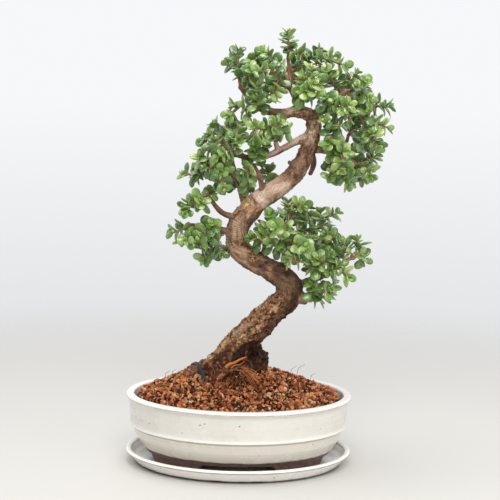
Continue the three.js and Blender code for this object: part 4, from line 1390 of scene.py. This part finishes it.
def strap_section():
    """The strap's outline across, with rounded corners."""
    half_width, half_thick = STRAP["width"] / 2, STRAP["thick"] / 2
    corner_size = STRAP["corner"]
    section = []
    for corner, (sign_w, sign_t) in enumerate(((1, 1), (-1, 1), (-1, -1), (1, -1))):
        for k in range(3):
            angle = (corner + k / 2) * math.pi / 2
            section.append((sign_w * (half_width - corner_size) + corner_size * math.cos(angle),
                            sign_t * (half_thick - corner_size) + corner_size * math.sin(angle)))
    return section


def make_strap(material):
    line = SmoothLine(STRAP_LINE)
    axis = unit(np.array(STRAP["axis"], float))
    section = strap_section()
    count = len(section)
    rings = []
    for t in np.linspace(0, 1, STRAP_STEPS + 1):
        outward = unit(np.cross(axis, line.turn(t)))
        rings.append([line.at(t) + axis * w + outward * h for w, h in section])
    ends = [list(range(count)), [STRAP_STEPS * count + i for i in range(count)][::-1]]
    build = Build()
    build.add(np.concatenate(rings), ends + strip_faces(STRAP_STEPS + 1, count, flip=True))
    add_piece("black_tie", build.mesh("black_tie"), material, ["tie_strap"])


# Leafy sprays

class Shoot:
    """A young stem of a spray, with the places of its leaves as the part has them."""

    def __init__(self, start, tip, out, width, roll):
        sag = SHOOT_SAG * np.linalg.norm(tip - start)
        middle = (start + tip) / 2 + 0.5 * sag * out - sag * UP
        self.line = SmoothLine([start, middle, tip])
        self.width = width
        self.roll = roll

    def fork(self):
        return self.line.at(self.line.share(FORK_AT))

    def first_normal(self):
        return np.array([math.cos(self.roll), math.sin(self.roll), 0.37])

    def frames(self):
        """The frames at the part's own places along the shoot, and the node of leaves at each."""
        length = self.line.length
        nodes = [node for node in LEAF_NODES if node[0] < length - SHORTEST_BARE][::-1]
        bare = length - nodes[0][0] - NODE_LENGTH
        shares = [0] + ([0.5 * bare / length] if bare > LONG_BARE else [])
        starts = []
        for back, _ in nodes:
            starts.append(len(shares))
            shares += [(length - back - NODE_LENGTH) / length, (length - back) / length]
        normal = self.first_normal()
        frames = []
        for share in shares:
            t = self.line.share(share)
            tangent = self.line.turn(t)
            normal = unit(normal - tangent * normal.dot(tangent))
            radius = self.width + (0.85 * SHOOT_RADIUS - self.width) * share
            frames.append((self.line.at(t), tangent, normal, np.cross(tangent, normal), radius))
        return frames, nodes, starts

    def sites(self):
        frames, nodes, starts = self.frames()
        for (_, leaves), start in zip(nodes, starts):
            centre, tangent, normal, binormal, radius = frames[start]
            middle = (centre + frames[start + 1][0]) / 2
            for sides, size, lift, shift in leaves:
                for quarter in sides:
                    angle = quarter * math.pi / 2
                    radial = normal * math.cos(angle) + binormal * math.sin(angle)
                    yield middle + 0.7 * radius * radial + shift * tangent, tangent, radial, size, lift


def part_shoot(start, place, order, roll):
    """A shoot as the part grows it, from its start through the middle of its leaves."""
    centre = np.array(place, float)
    away = unit(np.array([centre[0] - CROWN_AXIS[0], centre[1] - CROWN_AXIS[1], 0]))
    tip = centre + TIP_REACH * unit(centre - start) + TIP_TURN["out"] * away + TIP_TURN["up"] * UP
    return Shoot(start, tip, away, SHOOT_RADIUS if order else TWIG_RADIUS, roll)


def leaf_frame(root, tangent, radial, lift):
    along = tangent * math.cos(lift) + radial * math.sin(lift)
    up = tangent * math.sin(lift) - radial * math.cos(lift)
    return root, along, np.cross(up, along), up


def leaf_probes(pose, size):
    """Points where the part's leaf has its corners."""
    root, along, side, up = pose
    length = LEAF_LENGTH * size
    droop = LEAF_DROOP * (0.93 * length) ** 2 / length
    crown = LEAF_THICK * size - LEAF_DROOP * 0.55**2 * length
    yield root + 0.55 * length * along + crown * up
    for across in (-1, 1):
        yield root + 0.93 * length * along + across * 0.25 * LEAF_WIDTH * size * side - droop * up


def leaves_in_part(node, shoot):
    """The leaves that the part's node really has on this shoot: each site's frame and size."""
    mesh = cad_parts[node].data
    tree = kdtree.KDTree(len(mesh.vertices))
    for vertex in mesh.vertices:
        tree.insert(vertex.co / MM, vertex.index)
    tree.balance()
    for root, tangent, radial, size, lift in shoot.sites():
        for tilt, share in LEAF_TRIES:
            trial = leaf_frame(root, tangent, radial, lift + tilt)
            misses = [tree.find(Vector(p))[2] for p in leaf_probes(trial, size * share)]
            if sorted(misses)[1] < 0.1:
                yield trial, size * share
                break


# A leaf's section: across from -1 to 1 and the height of its skin there, as shares
LEAF_SECTION = [
    (-1, 0), (-0.8, 0.56), (-0.3, 0.96), (0.3, 0.96), (0.8, 0.56), (1, 0), (0.55, -0.34), (-0.55, -0.34),
]
LEAF_STATIONS = [0, 0.12, 0.28, 0.45, 0.62, 0.78, 0.9, 0.97]


def loosened(pose, random):
    """A leaf's frame, turned a little at random, and twisted on its stalk to face up and outward."""
    root, along, side, up = pose
    along = unit(along + random.normal() * 0.16 * side + random.normal() * 0.13 * up)
    outward = np.array([0, -0.75 * np.clip((12 - root[1]) / 15, -1, 1), 0.75])
    up = up + 0.65 * (outward - along * outward.dot(along)) + random.normal() * 0.2 * side
    side = unit(np.cross(up, along))
    return root, along, side, np.cross(along, side)


def add_leaf(build, pose, size, random, young=0.0, tone=0.5):
    """One fleshy obovate leaf, domed above, with a round tip, curled and turned a little at random."""
    root, along, side, up = loosened(pose, random)
    length = LEAF_LENGTH * size * random.uniform(0.86, 1.0)
    width = LEAF_WIDTH * size * random.uniform(0.78, 1.0) * (1 - 0.25 * young)
    thick = LEAF_THICK * size * 0.85 + 0.25
    droop = LEAF_DROOP + random.normal() * 0.07
    cup = random.normal() * 0.06 + 0.03
    sway = random.normal() * 0.04
    twist = random.normal() * 0.25
    blunt = random.uniform(1.15, 1.5)
    point = random.uniform(0.5, 0.68)
    across, skin = np.array(LEAF_SECTION).T

    def ring(u):
        """The leaf's outline across at a share of its length."""
        a = min(u, 0.999) ** blunt
        half = 0.5 * width * (4 * a * (1 - a)) ** point * (0.6 + 0.4 * float(ease(u, 0, 0.45)))
        half = max(half, 0.075 * width * (1 - u))
        body = thick * (0.45 + 0.55 * math.sin(math.pi * min(1, u + 0.12) ** 0.9))
        body *= min(1, 0.35 + 3 * (1 - u))
        y = across * half
        z = skin * body + cup * (y / width) ** 2 * width * 2
        turn = twist * u
        y, z = y * math.cos(turn) - z * math.sin(turn), y * math.sin(turn) + z * math.cos(turn)
        x = u * length
        y = y + sway * x * x / length
        z = z - droop * x * x / length
        return root + x * along + np.outer(y, side) + np.outer(z, up)

    tip = root + length * along + sway * length * side + (0.1 * thick - droop * length) * up
    rows, count = len(LEAF_STATIONS), len(across)
    last = (rows - 1) * count
    faces = [list(range(count)), *strip_faces(rows, count, flip=True)]
    faces += [[last + (i + 1) % count, last + i, rows * count] for i in range(count)]
    u = np.repeat(LEAF_STATIONS, count)
    rim = np.maximum(np.abs(np.tile(across, rows)), ease(u, 0.86, 1.0))
    below = np.tile(skin < -0.1, rows).astype(float)
    build.add(
        np.vstack([*(ring(station) for station in LEAF_STATIONS), tip]), faces,
        tone=tone, along=np.append(u, 1), rim=np.append(rim, 1), under=np.append(below, 0),
        young=young, stem=0,
    )


def add_stem(build, shoot, nodes_back, greenness):
    """A young twig, a little swollen where leaves leave it."""
    length = shoot.line.length
    steps = max(8, int(length / 1.8))
    runs = np.linspace(0, 1, steps + 1)
    radii = shoot.width + (0.74 * SHOOT_RADIUS - shoot.width) * runs
    for back in nodes_back:
        radii *= 1 + 0.22 * np.exp(-(((runs * length - (length - back)) / 1.3) ** 2))
    radii[-1] *= 0.5
    vertices, faces = tube(shoot.line, radii, STEM_SIDES, steps, shoot.first_normal())
    young = np.repeat(ease(runs, 0.45, 1.0), STEM_SIDES) * greenness
    build.add(vertices, faces, tone=0.5, along=1, rim=0, under=0, young=young, stem=1)


class Leaves:
    """Keeps the middle of each leaf, so that added ones find room between them."""

    def __init__(self, material, wood):
        self.material = material
        self.wood = wood
        self.middles = []

    def middle(self, pose, size):
        root, along, _, up = pose
        return root + 0.58 * LEAF_LENGTH * size * along + 0.5 * up

    def keep(self, pose, size):
        self.middles.append((self.middle(pose, size), size))

    def room(self, pose, size, spread):
        middle = self.middle(pose, size)
        tip = pose[0] + LEAF_LENGTH * size * pose[1]
        places = np.array([m for m, _ in self.middles])
        reach = np.array([s for _, s in self.middles]) + size
        close = np.linalg.norm(places - middle, axis=1) < 3.1 * spread * reach
        return not close.any() and self.wood.nearest(np.array([middle, tip]))[1].min() > 1.5

    def clear(self, tip):
        """Whether a new shoot may end here: clear of leaves and wood, and hiding no wood."""
        low, high = np.array(SIDE_LIMITS)
        if (tip < low).any() or (tip > high).any():
            return False
        places = np.array([middle for middle, _ in self.middles])
        if np.linalg.norm(places - tip, axis=1).min() < SIDE_GAP:
            return False
        sight = unit(tip - np.array(CAMERA_PLACE_MM))
        behind = tip + np.outer(np.arange(0, 100, 4), sight)
        return self.wood.nearest(behind)[1].min() > WOOD_GAP


# How far back from the tip a stem is swollen, on the part's own shoots and on side shoots
PART_NODES = [0.5, 4.5, 15.5]
SIDE_NODES = [0.5, 5, 9.5, 14.5]

# Pairs of leaves: distance back from the tip, size, lift, turn in half turns and youth
TIP_PAIRS = [
    (0.4, 0.36, 0.3, 0.0, 0.6),
    (2.2, 0.5, 0.5, 0.5, 0.3),
]
FILLING_PAIRS = TIP_PAIRS + [
    (9.8, 0.72, 1.0, 0.25, 0.1),
    (12.6, 0.66, 1.1, 0.75, 0.05),
    (20.5, 0.8, 1.25, 0.0, 0.0),
    (25.5, 0.78, 1.3, 0.5, 0.0),
    (31.0, 0.8, 1.35, 0.0, 0.0),
]
SIDE_PAIRS = TIP_PAIRS + [
    (5.0, 0.82, 0.8, 0.0, 0.1),
    (9.5, 0.96, 1.05, 0.5, 0.0),
    (14.5, 0.92, 1.2, 0.0, 0.0),
    (20.0, 0.86, 1.25, 0.5, 0.0),
    (26.0, 0.8, 1.3, 0.0, 0.0),
]


def pair_leaves(shoot, pairs, random):
    """The frame, size and youth of each leaf in pairs along a shoot."""
    length = shoot.line.length
    for back, size, lift, turn, young in pairs:
        if back > length - 5:
            continue
        t = shoot.line.share((length - back) / length)
        tangent = shoot.line.turn(t)
        first = shoot.first_normal()
        normal = unit(first - tangent * first.dot(tangent))
        binormal = np.cross(tangent, normal)
        for half in (0, 1):
            angle = (turn + half) * math.pi + random.normal() * 0.25
            radial = normal * math.cos(angle) + binormal * math.sin(angle)
            root = shoot.line.at(t) + 0.4 * radial
            leaf = leaf_frame(root, tangent, radial, lift + random.normal() * 0.16)
            yield leaf, size * random.uniform(0.85, 1.1), young


class Spray:
    """One node's leafy twigs: the shoots that the part has, with their leaves, and short side shoots."""

    def __init__(self, name, order, start, places):
        self.name = name
        self.random = np.random.default_rng(LEAF_SEED + order)
        self.shoots = []
        draw = random_from(SPRAY_SEED + order)
        origin = np.array(start, float)
        for number, place in enumerate(places):
            shoot = part_shoot(origin, place, number, draw() * math.pi)
            if number == 0:
                origin = shoot.fork()
            found = list(leaves_in_part("spray_" + name, shoot))
            if found:
                self.shoots.append((shoot, found))

    def grow(self, leaves):
        build = Build()
        random = self.random
        for shoot, found in self.shoots:
            add_stem(build, shoot, PART_NODES, random.uniform(0.35, 1))
            lit = random.normal(0.46, 0.12)
            for leaf, size in found:
                tone = lit + random.normal() * 0.22 + 0.25 * (0.85 - size)
                add_leaf(build, leaf, size, random, tone=min(1, max(0, tone)))
            self.fill(build, shoot, FILLING_PAIRS, leaves, lit + 0.1, 1.0)
        for shoot in self.side_shoots(leaves):
            add_stem(build, shoot, SIDE_NODES, random.uniform(0.2, 0.8))
            self.fill(build, shoot, SIDE_PAIRS, leaves, random.normal(0.5, 0.12), 0.72)
        name = "leafy_" + self.name
        add_piece(name, build.mesh(name), leaves.material, ["spray_" + self.name])

    def side_shoots(self, leaves):
        """Short shoots off the longer ones, each the first of a few random tries that has room."""
        random = self.random
        for parent, _ in self.shoots:
            for along in SIDE_STARTS:
                start = parent.line.at(parent.line.share(along))
                out = unit(start - np.array([CROWN_AXIS[0], CROWN_AXIS[1], start[2] - 20]))
                for _ in range(SIDE_TRIES):
                    way = unit(random.normal(size=3) + 0.4 * out)
                    tip = start + way * random.uniform(*SIDE_REACH)
                    if leaves.clear(tip):
                        yield Shoot(start, tip, out, 0.9 * SHOOT_RADIUS, random.uniform(0, math.pi))
                        break

    def fill(self, build, shoot, pairs, leaves, lit, spread):
        for leaf, size, young in pair_leaves(shoot, pairs, self.random):
            if young < 0.3 and not leaves.room(leaf, size, spread):
                continue
            leaves.keep(leaf, size)
            tone = min(1, max(0, lit + self.random.normal() * 0.22))
            add_leaf(build, leaf, size, self.random, young=young, tone=tone)


def make_sprays(material, wood):
    leaves = Leaves(material, wood)
    sprays = []
    for order, (name, (start, *places)) in enumerate(SPRAYS.items()):
        sprays.append(Spray(name, order, start, places))
    for spray in sprays:
        for _, found in spray.shoots:
            for leaf, size in found:
                leaves.keep(leaf, size)
    for spray in sprays:
        spray.grow(leaves)


# The room, the lights and the camera

FLOOR_SEGMENTS = 96
FLOOR_RADII = [0.02, 0.2, 0.4, 0.7, 1.1, 1.6, 2.3, 3.0]
FLOOR_FADE = (0.45, 1.35)
# Each light's place, size, power and colour
LIGHTS = {
    "key": ((0.1, -1.3, 1.35), 1.1, 18.5, (1.0, 0.985, 0.955)),
    "top": ((-0.1, 0.0, 1.5), 0.8, 9, (1.0, 0.995, 0.98)),
    "fill": ((1.2, -1.0, 0.6), 1.0, 4, (1.0, 0.98, 0.96)),
}
LIGHT_AIM = (0.02, 0, 0.25)
# How the sky's strength goes from back to front and from low to high: from, to, strength at both
SKY = {"Y": (-0.6, 0.75, 0.62, 0.95), "Z": (-0.15, 0.0, 0.85, 1.0)}


def make_room():
    """A pale floor that fades out at a distance from the object."""
    build = Build()
    angles = circle(FLOOR_SEGMENTS)
    ring = np.stack([np.cos(angles), np.sin(angles), 0 * angles], axis=1)
    rings = [radius / MM * ring for radius in FLOOR_RADII]
    faces = strip_faces(len(FLOOR_RADII), FLOOR_SEGMENTS, flip=True)
    build.add(np.concatenate(rings), [list(range(FLOOR_SEGMENTS)), *faces])
    floor = bpy.data.objects.new("floor", build.mesh("floor"))
    bpy.context.scene.collection.objects.link(floor)
    shader = Shader("floor_paper", Roughness=0.7)
    shader.surface.inputs["Base Color"].default_value = srgb(202, 200, 196)
    far = shader.add("VectorMath", {0: shader.place()}, operation="LENGTH").outputs["Value"]
    fading = shader.add("MixShader", {0: shader.fade(far, *FLOOR_FADE)})
    shader.link(shader.surface.outputs[0], fading.inputs[1])
    shader.link(shader.add("BsdfTransparent"), fading.inputs[2])
    shader.link(fading, shader.tree.nodes["Material Output"].inputs["Surface"])
    floor.data.materials.append(shader.material)


def add_light(name, place, size, power, colour):
    light = bpy.data.lights.new(name, "AREA")
    light.shape = "DISK"
    light.size = size
    light.energy = power
    light.color = colour
    lamp = bpy.data.objects.new(name, light)
    lamp.location = place
    lamp.rotation_euler = (Vector(LIGHT_AIM) - Vector(place)).to_track_quat("-Z", "Y").to_euler()
    bpy.context.scene.collection.objects.link(lamp)


def make_sky():
    """A sky that is brightest behind and above."""
    world = bpy.data.worlds.new("studio")
    bpy.context.scene.world = world
    world.use_nodes = True
    tree = world.node_tree
    split = tree.nodes.new("ShaderNodeSeparateXYZ")
    tree.links.new(tree.nodes.new("ShaderNodeTexCoord").outputs["Generated"], split.inputs[0])
    strength = tree.nodes.new("ShaderNodeMath")
    strength.operation = "MULTIPLY"
    for factor, (axis, values) in zip(strength.inputs, SKY.items()):
        span = tree.nodes.new("ShaderNodeMapRange")
        tree.links.new(split.outputs[axis], span.inputs["Value"])
        for socket, value in zip(("From Min", "From Max", "To Min", "To Max"), values):
            span.inputs[socket].default_value = value
        tree.links.new(span.outputs[0], factor)
    background = tree.nodes["Background"]
    background.inputs["Color"].default_value = (0.975, 0.985, 1.0, 1)
    tree.links.new(strength.outputs[0], background.inputs["Strength"])


def make_camera():
    camera = bpy.data.cameras.new("camera")
    camera.lens = CAMERA_LENS
    camera.sensor_width = CAMERA_SENSOR
    eye = bpy.data.objects.new("camera", camera)
    turn = Matrix.Rotation(math.pi / 2 - CAMERA_PITCH, 4, "X") @ Matrix.Rotation(CAMERA_ROLL, 4, "Z")
    eye.matrix_world = Matrix.Translation(Vector(CAMERA_PLACE_MM) * MM) @ turn
    bpy.context.scene.collection.objects.link(eye)
    bpy.context.scene.camera = eye


bpy.context.scene.view_settings.view_transform = "Standard"
make_camera()
for name, light in LIGHTS.items():
    add_light(name, *light)
make_sky()
make_room()
wood = Wood()
plastic = black_plastic()
make_pot(cream_glaze("cream_glaze", rim_mm=RIM_HEIGHT, ledge_mm=RIM_HEIGHT - LEDGE_DEPTH,
                     clay_below_mm=21.5, underside_mm=POT_BASE, edge_share=0.6))
# the tray's glaze is brightened with painted light
make_tray(cream_glaze("tray_glaze", rim_mm=TRAY_HEIGHT, ledge_mm=NO_LEDGE, clay_below_mm=2.6,
                      underside_mm=2, edge_share=0.95, painted_light_share=0.8))
make_specks()
make_soil(clay_granules(), wood)
make_strap(plastic)
for node in ("drain_screen_left", "drain_screen_right"):
    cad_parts[node].data.materials.clear()
    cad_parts[node].data.materials.append(plastic)
bark = tree_bark()
make_tree_wood(bark, wood)
make_root_fibres(bark, wood)
make_sprays(jade_leaves(), wood)
